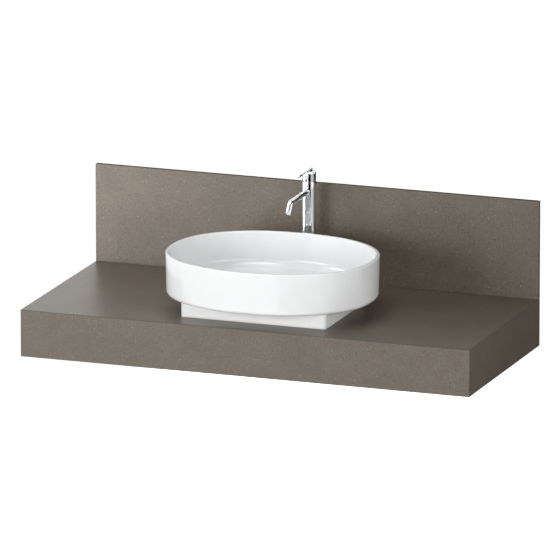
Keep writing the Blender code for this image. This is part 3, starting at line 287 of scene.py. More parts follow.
fired_glaze, tree, shader, places = start_finish("fired_sanitary_glaze", IOR=1.52)
flow = add(
    tree,
    "ShaderNodeTexNoise",
    {"Vector": places.outputs["Object"], "Scale": 1 / GLAZE_WAVE, "Detail": 1.5},
)
thick_glaze = add(
    tree,
    "ShaderNodeMix",
    {"Factor": flow.outputs["Fac"], "A": linear("E9EAEA"), "B": linear("EDEEEF")},
    data_type="RGBA",
)
height = add(tree, "ShaderNodeSeparateXYZ", {"Vector": places.outputs["Object"]})
bare = add(
    tree,
    "ShaderNodeMath",
    {0: height.outputs["Z"], 1: FOOT_LEVEL + RAW_RISE},
    operation="LESS_THAN",
)
body = add(
    tree,
    "ShaderNodeMix",
    {"Factor": bare, "A": pick(thick_glaze.outputs, ""), "B": linear("E8E0D2")},
    data_type="RGBA",
)
gloss = add(
    tree,
    "ShaderNodeMapRange",
    {"Value": flow.outputs["Fac"], "To Min": GLAZE_ROUGHNESS[0], "To Max": GLAZE_ROUGHNESS[1]},
)
matt = add(
    tree,
    "ShaderNodeMix",
    {"Factor": bare, "A": gloss, "B": RAW_ROUGHNESS},
)
waves = add(
    tree,
    "ShaderNodeBump",
    {"Strength": 0.35, "Distance": GLAZE_WAVE_DEPTH, "Height": flow.outputs["Fac"]},
)
wire(tree, shader, Base_Color=body, Roughness=matt, Normal=waves)
print(fired_glaze.name, "raw below", round(FOOT_LEVEL * 1000, 1), "mm")

# %% [markdown]
# ### Metals
#
# Five finishes are close relatives, so one function makes them all. Chrome plate is polished brass
# under nickel and a thin chrome skin: nearly a mirror, with a faint haze. The flat rings inside
# the tap's seam are painted brown-black as painted shade, because the narrow seam between cap and
# column lies in shade.
# Zinc plate is duller, and its passivated skin shifts between grey and straw. Machined brass
# keeps the fine rings of the cutting tool: it needs two finishes, because the rings run round
# each piece's own axis, which a Mapping node finds.
#
# The haze and the stain, and on the seam's rings the painted shade, are both one Noise, whose
# values seldom leave a middle span, so that span is stretched over the whole range. The tool's
# rings are a Wave texture.

# %% Metals
NOISE_SPAN = (0.3, 0.7)
# The Wave texture's rings are this far apart at a scale of 1
WAVE_SPACING = 0.314
# A finishing cut leaves rings about 0.1 mm apart: 0.5 mm is what shows
TOOL_RING = 0.0005
TOOL_RING_DEPTH = 0.00003


def metal(name, code, tarnish_and_shade, tarnish_and_shade_size, roughness, tool_ring=None, axis=(0, 0, 0)):
    """A bare metal with a stained colour, a hazy gloss and, where turned, the tool's rings; it
    also makes the seam's painted shade.
    """
    material, tree, shader, places = start_finish(name, Metallic=1.0)
    haze = add(
        tree,
        "ShaderNodeTexNoise",
        {"Vector": places.outputs["Object"], "Scale": 1 / tarnish_and_shade_size, "Detail": 5.0},
    )
    skin = add(
        tree,
        "ShaderNodeMix",
        {"Factor": haze.outputs["Fac"], "A": linear(code), "B": linear(tarnish_and_shade)},
        data_type="RGBA",
    )
    dulled = add(
        tree,
        "ShaderNodeMapRange",
        {
            "Value": haze.outputs["Fac"],
            "From Min": NOISE_SPAN[0],
            "From Max": NOISE_SPAN[1],
            "To Min": roughness[0],
            "To Max": roughness[1],
        },
    )
    wire(tree, shader, Base_Color=skin, Roughness=dulled)
    if tool_ring:
        centred = add(
            tree,
            "ShaderNodeMapping",
            {"Vector": places.outputs["Object"], "Location": tuple(-part for part in axis)},
        )
        rings = add(
            tree,
            "ShaderNodeTexWave",
            {"Vector": centred, "Scale": WAVE_SPACING / tool_ring, "Distortion": 0.0},
            wave_type="RINGS",
            rings_direction="Z",
        )
        groove = add(
            tree,
            "ShaderNodeBump",
            {"Strength": 0.5, "Distance": TOOL_RING_DEPTH, "Height": rings.outputs["Fac"]},
        )
        wire(tree, shader, Normal=groove)
    return material


def middle(node):
    """The middle of a node's box, for a pattern that is centred on it."""
    low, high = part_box(node)
    return (low + high) / 2


chrome_plate = metal("polished_chrome_plate", "E6E8EA", "DCDFE2", 0.03, (0.025, 0.06))
# Painted shade: the flat rings inside the seam get a dark brown-black finish, because the narrow
# seam lies in shade.
seam_shade_paint = metal("masked_seam_brass", "2B2723", "1A1816", 0.004, (0.55, 0.75))
zinc_plate = metal("passivated_zinc_plate", "B7BAB8", "A9A695", 0.006, (0.26, 0.42))
nut_brass, foot_brass = (
    metal(name, "C8A35C", "B58E4A", 0.012, (0.22, 0.34), TOOL_RING, middle(solid))
    for name, solid in (("turned_nut_brass", "waste_nut"), ("turned_foot_brass", "tap_foot"))
)
metals = (chrome_plate, seam_shade_paint, zinc_plate, nut_brass, foot_brass)
print("metals:", *(finish.name for finish in metals))

# %% [markdown]
# ### Powder-coated steel
#
# The wall brackets are bent flat bar, sprayed with charged powder and baked. The melted powder
# draws together like the skin of an orange, about 1.6 mm from dimple to dimple. A Noise of
# that size drives the Bump. A second, coarser Noise dusts the colour and breaks up the gloss,
# where hands and tools have rubbed it.

# %% Powder-coated steel
ORANGE_PEEL = 0.0016
PEEL_DEPTH = 0.00012
SCUFF_SIZE = 0.025
COAT_ROUGHNESS = (0.38, 0.58)

powder_coat, tree, shader, places = start_finish("baked_powder_coat", IOR=1.5)
peel = add(
    tree,
    "ShaderNodeTexNoise",
    {"Vector": places.outputs["Object"], "Scale": 1 / ORANGE_PEEL, "Detail": 1.0},
)
scuffs = add(
    tree,
    "ShaderNodeTexNoise",
    {
        "Vector": places.outputs["Object"],
        "Scale": 1 / SCUFF_SIZE,
        "Detail": 6.0,
        "Roughness": 0.7,
    },
)
dusty = add(
    tree,
    "ShaderNodeMix",
    {"Factor": scuffs.outputs["Fac"], "A": linear("27282A"), "B": linear("333437")},
    data_type="RGBA",
)
broken = add(
    tree,
    "ShaderNodeMapRange",
    {"Value": scuffs.outputs["Fac"], "To Min": COAT_ROUGHNESS[0], "To Max": COAT_ROUGHNESS[1]},
)
dimples = add(
    tree,
    "ShaderNodeBump",
    {"Strength": 0.6, "Distance": PEEL_DEPTH, "Height": peel.outputs["Fac"]},
)
wire(tree, shader, Base_Color=dusty, Roughness=broken, Normal=dimples)
print(powder_coat.name, "dimples", ORANGE_PEEL * 1000, "mm")

# %% [markdown]
# ### Birch plywood
#
# The carrier under the thin stone is birch plywood: its faces show long fine figure, and its
# edges show the plies, light and dark in turn, with a thin line of glue between them. One
# function makes a finish for each way a board can lie, because the plies are stacked across
# the board's thickness. Which way the surface faces tells face from edge.

# %% Birch plywood
PLY = 0.0014
# Each glue line's share of a pair of plies
GLUE_SHARE = 0.06
# One streak of the figure: its length, its width and its reach through the board
FIGURE_LENGTH, FIGURE_WIDTH, FIGURE_REACH = 0.1786, 0.01099, 0.0714
FIBRE_DEPTH = 0.0002
SANDED_ROUGHNESS = (0.6, 0.8)
# A surface faces across the plies where this much of its direction does
FACE_SHARE = 0.7


def plywood(name, across):
    """Plywood whose plies are stacked along one axis: X, Y or Z."""
    material, tree, shader, places = start_finish(name, IOR=1.5)
    turns = {"X": (0, math.pi / 2, 0), "Y": (math.pi / 2, 0, 0), "Z": (0, 0, 0)}
    laid = add(
        tree,
        "ShaderNodeMapping",
        {"Vector": places.outputs["Object"], "Rotation": turns[across]},
        vector_type="TEXTURE",
    )
    streak = (FIGURE_LENGTH, FIGURE_WIDTH, FIGURE_REACH)
    if across == "X":
        streak = (FIGURE_REACH, FIGURE_LENGTH, FIGURE_WIDTH)
    stretched = add(
        tree,
        "ShaderNodeVectorMath",
        {0: laid, 1: streak},
        operation="DIVIDE",
    )
    figure = add(
        tree,
        "ShaderNodeTexNoise",
        {"Vector": stretched, "Scale": 1.0, "Detail": 6.0, "Distortion": 0.6},
    )
    face = add(tree, "ShaderNodeValToRGB", {"Fac": figure.outputs["Fac"]})
    face.color_ramp.elements[0].position = NOISE_SPAN[0]
    face.color_ramp.elements[0].color = linear("C39C68")
    face.color_ramp.elements[1].position = NOISE_SPAN[1]
    face.color_ramp.elements[1].color = linear("DCC193")
    place = add(tree, "ShaderNodeSeparateXYZ", {"Vector": places.outputs["Object"]})
    level = add(
        tree,
        "ShaderNodeMath",
        {0: place.outputs[across], 1: 1 / (2 * PLY)},
        operation="MULTIPLY",
    )
    pair = add(tree, "ShaderNodeMath", {0: level}, operation="FRACT")
    plies = add(tree, "ShaderNodeValToRGB", {"Fac": pair})
    plies.color_ramp.interpolation = "CONSTANT"
    plies.color_ramp.elements[0].color = linear("D2B078")
    plies.color_ramp.elements[1].position = 0.5 - GLUE_SHARE
    plies.color_ramp.elements[1].color = linear("5B3D22")
    for position, code in ((0.5, "A87E4C"), (1 - GLUE_SHARE, "5B3D22")):
        plies.color_ramp.elements.new(position).color = linear(code)
    facing = add(tree, "ShaderNodeSeparateXYZ", {"Vector": places.outputs["Normal"]})
    turned = add(tree, "ShaderNodeMath", {0: facing.outputs[across]}, operation="ABSOLUTE")
    is_face = add(tree, "ShaderNodeMath", {0: turned, 1: FACE_SHARE}, operation="GREATER_THAN")
    wood = add(
        tree,
        "ShaderNodeMix",
        {"Factor": is_face, "A": plies.outputs["Color"], "B": face.outputs["Color"]},
        data_type="RGBA",
    )
    sanded = add(
        tree,
        "ShaderNodeMapRange",
        {
            "Value": figure.outputs["Fac"],
            "To Min": SANDED_ROUGHNESS[0],
            "To Max": SANDED_ROUGHNESS[1],
        },
    )
    fibres = add(
        tree,
        "ShaderNodeBump",
        {"Strength": 0.4, "Distance": FIBRE_DEPTH, "Height": figure.outputs["Fac"]},
    )
    wire(tree, shader, Base_Color=wood, Roughness=sanded, Normal=fibres)
    return material


level_plywood = plywood("sanded_birch_plywood_level", "Z")
front_plywood = plywood("sanded_birch_plywood_front", "Y")
side_plywood = plywood("sanded_birch_plywood_side", "X")
print("ply", PLY * 1000, "mm")

# %% [markdown]
# ### Rubber, silicone and plastic
#
# The soft and moulded pieces share one function too. Rubber is matt black with a bloom of
# grey dust. Silicone is a smooth, slightly milky bead, smoothed by a wet finger. The waste's
# guide and the cartridge are moulded acetal, whose surface copies the spark-eroded mould.

# %% Rubber, silicone and plastic
def moulded(name, code, bloom, bloom_size, roughness, skin_size, skin_depth, **plain):
    """A matt moulded finish: two tones that drift, and a fine skin."""
    material, tree, shader, places = start_finish(name, **plain)
    cloud = add(
        tree,
        "ShaderNodeTexNoise",
        {"Vector": places.outputs["Object"], "Scale": 1 / bloom_size, "Detail": 4.0},
    )
    tone = add(
        tree,
        "ShaderNodeMix",
        {"Factor": cloud.outputs["Fac"], "A": linear(code), "B": linear(bloom)},
        data_type="RGBA",
    )
    skin = add(
        tree,
        "ShaderNodeTexNoise",
        {"Vector": places.outputs["Object"], "Scale": 1 / skin_size, "Detail": 2.0},
    )
    dull = add(
        tree,
        "ShaderNodeMapRange",
        {"Value": cloud.outputs["Fac"], "To Min": roughness[0], "To Max": roughness[1]},
    )
    texture = add(
        tree,
        "ShaderNodeBump",
        {"Strength": 0.5, "Distance": skin_depth, "Height": skin.outputs["Fac"]},
    )
    wire(tree, shader, Base_Color=tone, Roughness=dull, Normal=texture)
    return material


black_rubber = moulded(
    "moulded_black_rubber", "161617", "2A2A2B", 0.008, (0.65, 0.85), 0.0006, 0.00005, IOR=1.52
)
milky_silicone = moulded(
    "tooled_sanitary_silicone", "E4E4E1", "EEEEEC", 0.02, (0.3, 0.45), 0.004, 0.0001, IOR=1.41
)
acetal = moulded(
    "moulded_acetal", "D2D2CE", "DEDEDA", 0.012, (0.35, 0.5), 0.0005, 0.00003, IOR=1.48
)
print("soft finishes:", black_rubber.name, milky_silicone.name, acetal.name)

# %% [markdown]
# ## Solids that keep their shape
#
# A solid whose shape is already right stays as it came from CAD, and only its finish changes.
# Its mesh is never touched.

# %% Finish the solids
SOLID_FINISHES = {
    honed_quartz: ("top_slab", "front_apron", "left_apron", "right_apron", "splashback"),
    level_plywood: ("carrier",),
    front_plywood: ("front_stiffener",),
    side_plywood: ("left_stiffener", "right_stiffener"),
    powder_coat: ("left_bracket", "right_bracket"),
    black_rubber: ("cartridge_seal",),
    acetal: ("cartridge_body", "waste_guide"),
    zinc_plate: ("lever_pivot_pin", "lever_stem", "lever_grub_screw", "plug_stop"),
    foot_brass: ("tap_foot", "cartridge_nut", "lever_turret", "plug_spindle"),
}
for finish, solids in SOLID_FINISHES.items():
    for solid in solids:
        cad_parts[solid].data.materials.clear()
        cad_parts[solid].data.materials.append(finish)
    print(finish.name, "on", len(solids))

# %% [markdown]
# ## Pieces made finer
#
# The rest is built again with the edges, curves and cut details that the solids simplify.
# Round things are turned: an outline of (radius, height) goes round an axis, as on a lathe.
# No real edge is perfectly sharp, so each corner of an outline may name how far back its
# rounding starts.

# %% Shape helpers
# Points nearer than this are one point, and a radius below it is on the axis
TOUCHING = 1e-7
# A Boolean leaves doubles a little further apart
CARVED_TOUCHING = 2e-6
# Two levels or radii that differ by less than this are the same
SAME_LEVEL = 1e-5
# A face is flat where its normal points this much up or down
LEVEL_NORMAL = 0.99
TURN_STEPS = 96
FINE_TURN_STEPS = 128
COARSE_TURN_STEPS = 32
DRILL_STEPS = 64
# A tool reaches this far past what it cuts
OVERRUN = 0.002


def eased(outline, steps=3):
    """An outline of (u, v) or (u, v, ease) corners, with a small curve at each eased corner."""
    corners = [(Vector(corner[:2]), corner[2] if len(corner) > 2 else 0) for corner in outline]
    points = []
    for number, (corner, ease) in enumerate(corners):
        if not ease:
            points.append(corner)
            continue
        before = corner + (corners[number - 1][0] - corner).normalized() * ease
        ahead = corners[(number + 1) % len(corners)][0]
        after = corner + (ahead - corner).normalized() * ease
        for step in range(steps + 1):
            share = step / steps
            points.append(before.lerp(corner, share).lerp(corner.lerp(after, share), share))
    return points


def skinned(rings, looped):
    """Join rings of points by faces; a ring of one point is a pole."""
    shape = bmesh.new()
    made = [[shape.verts.new(point) for point in ring] for ring in rings]
    for low, high in zip(made, made[1:] + made[:1] if looped else made[1:]):
        count = max(len(low), len(high))
        for step in range(count):
            after = (step + 1) % count
            corners = [low[step], low[after]] if len(low) > 1 else [low[0]]
            corners += [high[after], high[step]] if len(high) > 1 else [high[0]]
            shape.faces.new(corners)
    return shape


def round_ring(radius, height, steps):
    """Points round the Z axis, or the one point on it."""
    if radius < TOUCHING:
        return [Vector((0, 0, height))]
    turns = [math.tau * step / steps for step in range(steps)]
    return [Vector((radius * math.cos(turn), radius * math.sin(turn), height)) for turn in turns]


def turned(outline, steps=TURN_STEPS):
    """Turn an eased outline of (radius, height) about Z. Poles at both ends leave it unlooped."""
    points = eased(outline)
    poles = points[0].x < TOUCHING and points[-1].x < TOUCHING
    return skinned([round_ring(radius, height, steps) for radius, height in points], not poles)


def shaped(name, shape, finish, where=None):
    """Make an object of a bmesh, faces outwards, with its place in its mesh."""
    if where is not None:
        bmesh.ops.transform(shape, matrix=where, verts=shape.verts)
    bmesh.ops.remove_doubles(shape, verts=shape.verts, dist=TOUCHING)
    bmesh.ops.recalc_face_normals(shape, faces=shape.faces)
    mesh = bpy.data.meshes.new(name)
    shape.to_mesh(mesh)
    shape.free()
    mesh.materials.append(finish)
    piece = bpy.data.objects.new(name, mesh)
    bpy.context.scene.collection.objects.link(piece)
    return smooth(piece)


def smooth(piece, angle=math.radians(32)):
    """Shade the round faces smooth and leave the sharp edges."""
    piece.data.shade_smooth()
    piece.data.set_sharp_from_angle(angle=angle)
    return piece


def at(*spot):
    """A move to a place."""
    return Matrix.Translation(spot)


def merge(piece, distance, face_outwards=False):
    """Merge a piece's doubles, and turn every face outwards if asked to."""
    shape = bmesh.new()
    shape.from_mesh(piece.data)
    bmesh.ops.remove_doubles(shape, verts=shape.verts, dist=distance)
    if face_outwards:
        bmesh.ops.recalc_face_normals(shape, faces=shape.faces)
    shape.to_mesh(piece.data)
    shape.free()
    return smooth(piece)


def carve(piece, *tools, operation="DIFFERENCE"):
    """Cut tools out of a piece, or join them on, and keep the result as its own mesh.

    After each tool the doubles are merged, because a Boolean wants a closed mesh to cut.
    """
    for tool in tools:
        change = piece.modifiers.new(tool.name, "BOOLEAN")
        change.operation = operation
        change.solver = "EXACT"
        change.object = tool
        graph = bpy.context.evaluated_depsgraph_get()
        carved = bpy.data.meshes.new_from_object(piece.evaluated_get(graph), depsgraph=graph)
        piece.modifiers.clear()
        piece.data = carved
        merge(piece, CARVED_TOUCHING)
        bpy.data.objects.remove(tool)
    return piece


def settle(piece, body, slot, *solids):
    """The piece rides on its body and stands for its CAD solids, which are hidden; the slot is not
    used.
    """
    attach(piece, body)
    if solids:
        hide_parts(*solids)
    print(f"{piece.name}: {len(piece.data.polygons)} faces on {body}")
    return piece


# %% [markdown]
# Rules are trees of geometry nodes. Each tree takes named sizes, and ends by making its
# instances real and giving them their finish. `grow` runs a tree on a seed mesh once, keeps
# the plain mesh that comes out, and takes the modifier off again.

# %% Rule helpers
def open_rule(name, sizes):
    """A new geometry tree with named inputs, and the node that hands them out."""
    tree = bpy.data.node_groups.new(name, "GeometryNodeTree")
    tree.interface.new_socket("Seed Mesh", in_out="INPUT", socket_type="NodeSocketGeometry")
    for label, kind in sizes.items():
        tree.interface.new_socket(label, in_out="INPUT", socket_type="NodeSocket" + kind)
    tree.interface.new_socket("Made", in_out="OUTPUT", socket_type="NodeSocketGeometry")
    return tree, add(tree, "NodeGroupInput")


def close_rule(tree, made, finish):
    """End a tree: real instances, one finish, and the output."""
    real = add(tree, "GeometryNodeRealizeInstances", {"Geometry": made})
    clad = add(tree, "GeometryNodeSetMaterial", {"Geometry": real, "Material": finish})
    add(tree, "NodeGroupOutput", {"Made": clad})


def grow(name, tree, seed, **sizes):
    """Run a tree on a seed mesh and keep what it makes as one plain mesh."""
    piece = bpy.data.objects.new(name, seed)
    bpy.context.scene.collection.objects.link(piece)
    rule = piece.modifiers.new(tree.name, "NODES")
    rule.node_group = tree
    for item in tree.interface.items_tree:
        value = sizes.get(item.name.replace(" ", "_"))
        if value is not None:
            rule[item.identifier] = value
    graph = bpy.context.evaluated_depsgraph_get()
    made = bpy.data.meshes.new_from_object(piece.evaluated_get(graph), depsgraph=graph)
    piece.modifiers.remove(rule)
    piece.data = made
    made.name = name
    return smooth(piece)


# %% [markdown]
# ## Basin
#
# The bowl is not an ellipse: its ends are a little fuller. Such an oval is a superellipse,
# whose roundness is 2 for an ellipse and more for a squarer form. Every level of the bowl,
# outside and inside, is the same oval drawn in by some distance, and the floor's ovals turn
# into circles on the way to the waste. That is a rule, so a geometry tree makes it.
#
# The seed is the bowl's section: a chain of points that each say how far in they are, how
# high, and how much of the oval is left there (1 at the wall, 0 at the waste). A grid with
# one row for each point is then wrapped round, and its seam is merged.

# %% Bowl rule
BASIN_LOW, BASIN_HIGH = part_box("basin")
BASIN_MIDDLE = (BASIN_LOW + BASIN_HIGH) / 2
BASIN_ROUNDNESS = 2.21
BOWL_STEPS = 256
SEAM_MERGE = 1e-6

oval_bowl, sizes = open_rule(
    "oval_bowl",
    {
        "Width": "Float",
        "Depth": "Float",
        "Roundness": "Float",
        "Waste Recess": "Float",
        "Steps": "Int",
    },
)
rows = add(oval_bowl, "GeometryNodeAttributeDomainSize", {"Geometry": sizes.outputs["Seed Mesh"]})
columns = add(oval_bowl, "ShaderNodeMath", {0: sizes.outputs["Steps"], 1: 1.0}, operation="ADD")
grid = add(
    oval_bowl,
    "GeometryNodeMeshGrid",
    {
        "Size X": 1.0,
        "Size Y": 1.0,
        "Vertices X": rows.outputs["Point Count"],
        "Vertices Y": columns,
    },
)
place = add(oval_bowl, "GeometryNodeInputPosition")
shares = add(oval_bowl, "ShaderNodeVectorMath", {0: place, 1: (0.5, 0.5, 0.0)}, operation="ADD")
share = add(oval_bowl, "ShaderNodeSeparateXYZ", {"Vector": shares})
last_row = add(
    oval_bowl,
    "ShaderNodeMath",
    {0: rows.outputs["Point Count"], 1: 1.0},
    operation="SUBTRACT",
)
row = add(
    oval_bowl,
    "ShaderNodeMath",
    {0: share.outputs["X"], 1: last_row},
    operation="MULTIPLY",
)
whole_row = add(oval_bowl, "ShaderNodeMath", {0: row}, operation="ROUND")
section = {}
for label in ("inset", "height", "oval_left"):
    stored = add(oval_bowl, "GeometryNodeInputNamedAttribute", {"Name": label})
    section[label] = add(
        oval_bowl,
        "GeometryNodeSampleIndex",
        {
            "Geometry": sizes.outputs["Seed Mesh"],
            "Value": stored.outputs["Attribute"],
            "Index": whole_row,
        },
    )
extent = add(
    oval_bowl,
    "ShaderNodeCombineXYZ",
    {"X": sizes.outputs["Width"], "Y": sizes.outputs["Depth"]},
)
half = add(oval_bowl, "ShaderNodeVectorMath", {0: extent, "Scale": 0.5}, operation="SCALE")
drain = add(
    oval_bowl,
    "ShaderNodeMath",
    {0: sizes.outputs["Waste Recess"], 1: 0.5},
    operation="MULTIPLY",
)
outline = add(
    oval_bowl,
    "ShaderNodeMix",
    {"Factor": section["oval_left"], "A": drain, "B": half},
    data_type="VECTOR",
)
reach = add(
    oval_bowl,
    "ShaderNodeVectorMath",
    {0: outline, 1: section["inset"]},
    operation="SUBTRACT",
)
roundness = add(
    oval_bowl,
    "ShaderNodeMix",
    {"Factor": section["oval_left"], "A": 2.0, "B": sizes.outputs["Roundness"]},
)
power = add(oval_bowl, "ShaderNodeMath", {0: 2.0, 1: roundness}, operation="DIVIDE")
turn = add(
    oval_bowl,
    "ShaderNodeMath",
    {0: share.outputs["Y"], 1: math.tau},
    operation="MULTIPLY",
)
cosine = add(oval_bowl, "ShaderNodeMath", {0: turn}, operation="COSINE")
sine = add(oval_bowl, "ShaderNodeMath", {0: turn}, operation="SINE")
way = add(oval_bowl, "ShaderNodeCombineXYZ", {"X": cosine, "Y": sine})
size_of_way = add(oval_bowl, "ShaderNodeVectorMath", {0: way}, operation="ABSOLUTE")
bent = add(oval_bowl, "ShaderNodeVectorMath", {0: size_of_way, 1: power}, operation="POWER")
sign = add(oval_bowl, "ShaderNodeVectorMath", {0: way}, operation="SIGN")
signed = add(oval_bowl, "ShaderNodeVectorMath", {0: bent, 1: sign}, operation="MULTIPLY")
flat = add(
    oval_bowl,
    "ShaderNodeVectorMath",
    {0: signed, 1: reach},
    operation="MULTIPLY",
)
flat_parts = add(oval_bowl, "ShaderNodeSeparateXYZ", {"Vector": flat})
spot = add(
    oval_bowl,
    "ShaderNodeCombineXYZ",
    {"X": flat_parts.outputs["X"], "Y": flat_parts.outputs["Y"], "Z": section["height"]},
)
wrapped = add(
    oval_bowl,
    "GeometryNodeSetPosition",
    {"Geometry": grid.outputs["Mesh"], "Position": spot},
)
joined = add(
    oval_bowl,
    "GeometryNodeMergeByDistance",
    {"Geometry": wrapped, "Distance": SEAM_MERGE},
)
close_rule(oval_bowl, joined, fired_glaze)
print(oval_bowl.name, len(oval_bowl.nodes), "nodes")

# %% [markdown]
# The section's points go from the waste hole under the bowl, out to the wall, up and over the
# rim, down inside, round the fillet and along the floor back to the waste. Arcs are given
# many points, because the rim and the fillet are where light draws its lines.

# %% Bowl section
RIM_THICKNESS = 0.010
RIM_RADIUS = 0.003
WALL_DRAFT = 0.002
WALL_THICKENING = 0.003
UNDERSIDE = 0.040
UNDER_EDGE_RADIUS = 0.012
FLOOR_EDGE = 0.060
FLOOR_FALL = 0.005
FLOOR_FILLET = 0.022
FLOOR_ROWS = 12
EDGE_ROWS = 10
RIM_ROWS = 8
FILLET_ROWS = 14
WASTE_HOLE = 0.045
WASTE_RECESS = 0.070
RECESS_DEPTH = 0.0046
BASIN_HEIGHT = BASIN_HIGH.z - COUNTER_TOP


def bend(centre, radius, first, last, steps):
    """Points (inset, height) on an arc between two angles in degrees."""
    turns = [math.radians(first + (last - first) * step / steps) for step in range(steps + 1)]
    return [(centre[0] + radius * math.cos(t), centre[1] + radius * math.sin(t)) for t in turns]


under_edge = (WALL_DRAFT + UNDER_EDGE_RADIUS, UNDERSIDE + UNDER_EDGE_RADIUS)
outer_rim = (RIM_RADIUS, BASIN_HEIGHT - RIM_RADIUS)
inner_rim = (RIM_THICKNESS - RIM_RADIUS, BASIN_HEIGHT - RIM_RADIUS)
inner_wall = RIM_THICKNESS + WALL_THICKENING
fillet = (inner_wall + FLOOR_FILLET, FLOOR_EDGE + FLOOR_FILLET)
bowl_wall = bend(under_edge, UNDER_EDGE_RADIUS, 270, 180, EDGE_ROWS)
bowl_wall += bend(outer_rim, RIM_RADIUS, 180, 90, RIM_ROWS)
bowl_wall += bend(inner_rim, RIM_RADIUS, 90, 0, RIM_ROWS)
bowl_wall += bend(fillet, FLOOR_FILLET, 180, 270, FILLET_ROWS)
waste_inset = (WASTE_RECESS - WASTE_HOLE) / 2
section_points = [(waste_inset, UNDERSIDE, 0)]
section_points += [(inset, height, 1) for inset, height in bowl_wall]
for step in range(1, FLOOR_ROWS + 1):
    left = 1 - step / FLOOR_ROWS
    section_points.append((fillet[0] * left, FLOOR_EDGE - FLOOR_FALL * (1 - left), left))
seat = FLOOR_EDGE - FLOOR_FALL - RECESS_DEPTH
section_points += [(0, seat, 0), (waste_inset, seat, 0), section_points[0]]
section_mesh = bpy.data.meshes.new("bowl_section")
section_mesh.from_pydata([(0, 0, 0)] * len(section_points), [], [])
for column, label in enumerate(("inset", "height", "oval_left")):
    values = section_mesh.attributes.new(label, "FLOAT", "POINT").data
    values.foreach_set("value", [point[column] for point in section_points])
print(len(section_points), "points in the bowl's section")

# %% [markdown]
# The plinth is a hollow rectangle with rounded corners, a little narrower at its foot so that
# it leaves the mould. It laps into the bowl, and a Boolean makes the two one body, as the
# kiln does.

# %% Fire the basin
PLINTH_WIDTH = 0.389
PLINTH_DEPTH = 0.294
PLINTH_TAPER = 0.0008
PLINTH_CORNER = 0.009
PLINTH_WALL = 0.012
PLINTH_LAP = 0.003
PLINTH_EASE = 0.0012
BASIN_WIDTH = BASIN_HIGH.x - BASIN_LOW.x
BASIN_DEPTH = BASIN_HIGH.y - BASIN_LOW.y
FOOT = BASIN_LOW.z - COUNTER_TOP


def rectangle_ring(inset, height, corner):
    """Points round the plinth's plan, drawn in by a distance."""
    ring = []
    for number, (x, y) in enumerate(((1, 1), (-1, 1), (-1, -1), (1, -1))):
        centre = (x * (PLINTH_WIDTH / 2 - inset - corner), y * (PLINTH_DEPTH / 2 - inset - corner))
        ring += bend(centre, corner, 90 * number, 90 * number + 90, EDGE_ROWS)
    return [Vector((x, y, height)) for x, y in ring]


def rectangle_rings(outline):
    """A ring for each (inset, height) of an outline, with corners that follow the inset."""
    return [
        rectangle_ring(inset, height, max(PLINTH_CORNER - inset, PLINTH_WALL / 4))
        for inset, height in outline
    ]


plinth_top = UNDERSIDE + PLINTH_LAP
foot_inset = PLINTH_TAPER / 2
plinth_outline = eased(
    [
        (PLINTH_WALL, plinth_top),
        (0, plinth_top),
        (foot_inset, FOOT, PLINTH_EASE),
        (foot_inset + PLINTH_WALL, FOOT, PLINTH_EASE),
    ]
)
basin_place = at(0, BASIN_MIDDLE.y, COUNTER_TOP)
basin_piece = grow(
    "glazed_basin",
    oval_bowl,
    section_mesh,
    Width=BASIN_WIDTH,
    Depth=BASIN_DEPTH,
    Roundness=BASIN_ROUNDNESS,
    Waste_Recess=WASTE_RECESS,
    Steps=BOWL_STEPS,
)
basin_piece.data.transform(basin_place)
merge(basin_piece, TOUCHING, face_outwards=True)
plinth_rings = rectangle_rings(plinth_outline)
plinth = shaped("plinth", skinned(plinth_rings, True), fired_glaze, basin_place)
carve(basin_piece, plinth, operation="UNION")
settle(basin_piece, "console", "ceramic", "basin")

# %% [markdown]
# ## Tap
#
# All of the tap stands on one axis, so its pieces are turned, like the real ones, from bar and
# tube. Where the spout and the lever cross that axis, tools are cut out with Booleans, just
# as a mill would cut them.

# %% Tap column and its dome
GAP = 0.0003
TAP_RADIUS = 0.0175
COLUMN_LOW, COLUMN_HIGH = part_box("tap_column")
TAP_MIDDLE = (COLUMN_LOW + COLUMN_HIGH) / 2
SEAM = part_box("lever_cap")[0].z / 2 + COLUMN_HIGH.z / 2
SPOUT_RADIUS = 0.0075
SPOUT_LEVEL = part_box("tap_spout")[1].z - SPOUT_RADIUS
CARTRIDGE_RADIUS = 0.014
CARTRIDGE_DEPTH = 0.0185
CARTRIDGE_SEAT = SEAM - CARTRIDGE_DEPTH
COLUMN_WALL = 0.003
# Between the cartridge and the hollow foot, the column is solid, and holds the spout's socket
COLUMN_SOLID = 0.0185
COLUMN_HOLLOW_TOP = CARTRIDGE_SEAT - COLUMN_SOLID
SOCKET_DEPTH = 0.0028
SOCKET_FLOOR = TAP_RADIUS - SOCKET_DEPTH
PASSAGE_RADIUS = 0.00375
PASSAGE_FORWARD = 0.0055
PASSAGE_LAP = 3 * GAP
LEVER_LIFT_DEGREES = 20
# Turned edges are only just broken where two pieces meet, and rounder elsewhere
MEETING_EASE = 0.0002
FOOT_EASE = 0.0004
tap_axis = at(TAP_MIDDLE.x, TAP_MIDDLE.y, 0)
FORWARD = Matrix.Rotation(math.pi / 2, 4, "X")

column_outline = [
    (0, CARTRIDGE_SEAT),
    (CARTRIDGE_RADIUS, CARTRIDGE_SEAT),
    (CARTRIDGE_RADIUS, COLUMN_HIGH.z, MEETING_EASE),
    (TAP_RADIUS, COLUMN_HIGH.z, MEETING_EASE),
    (TAP_RADIUS, COLUMN_LOW.z, FOOT_EASE),
    (TAP_RADIUS - COLUMN_WALL, COLUMN_LOW.z),
    (TAP_RADIUS - COLUMN_WALL, COLUMN_HOLLOW_TOP),
    (0, COLUMN_HOLLOW_TOP),
]
column_blank = turned(column_outline, FINE_TURN_STEPS)
column_piece = shaped("plated_column", column_blank, chrome_plate, tap_axis)


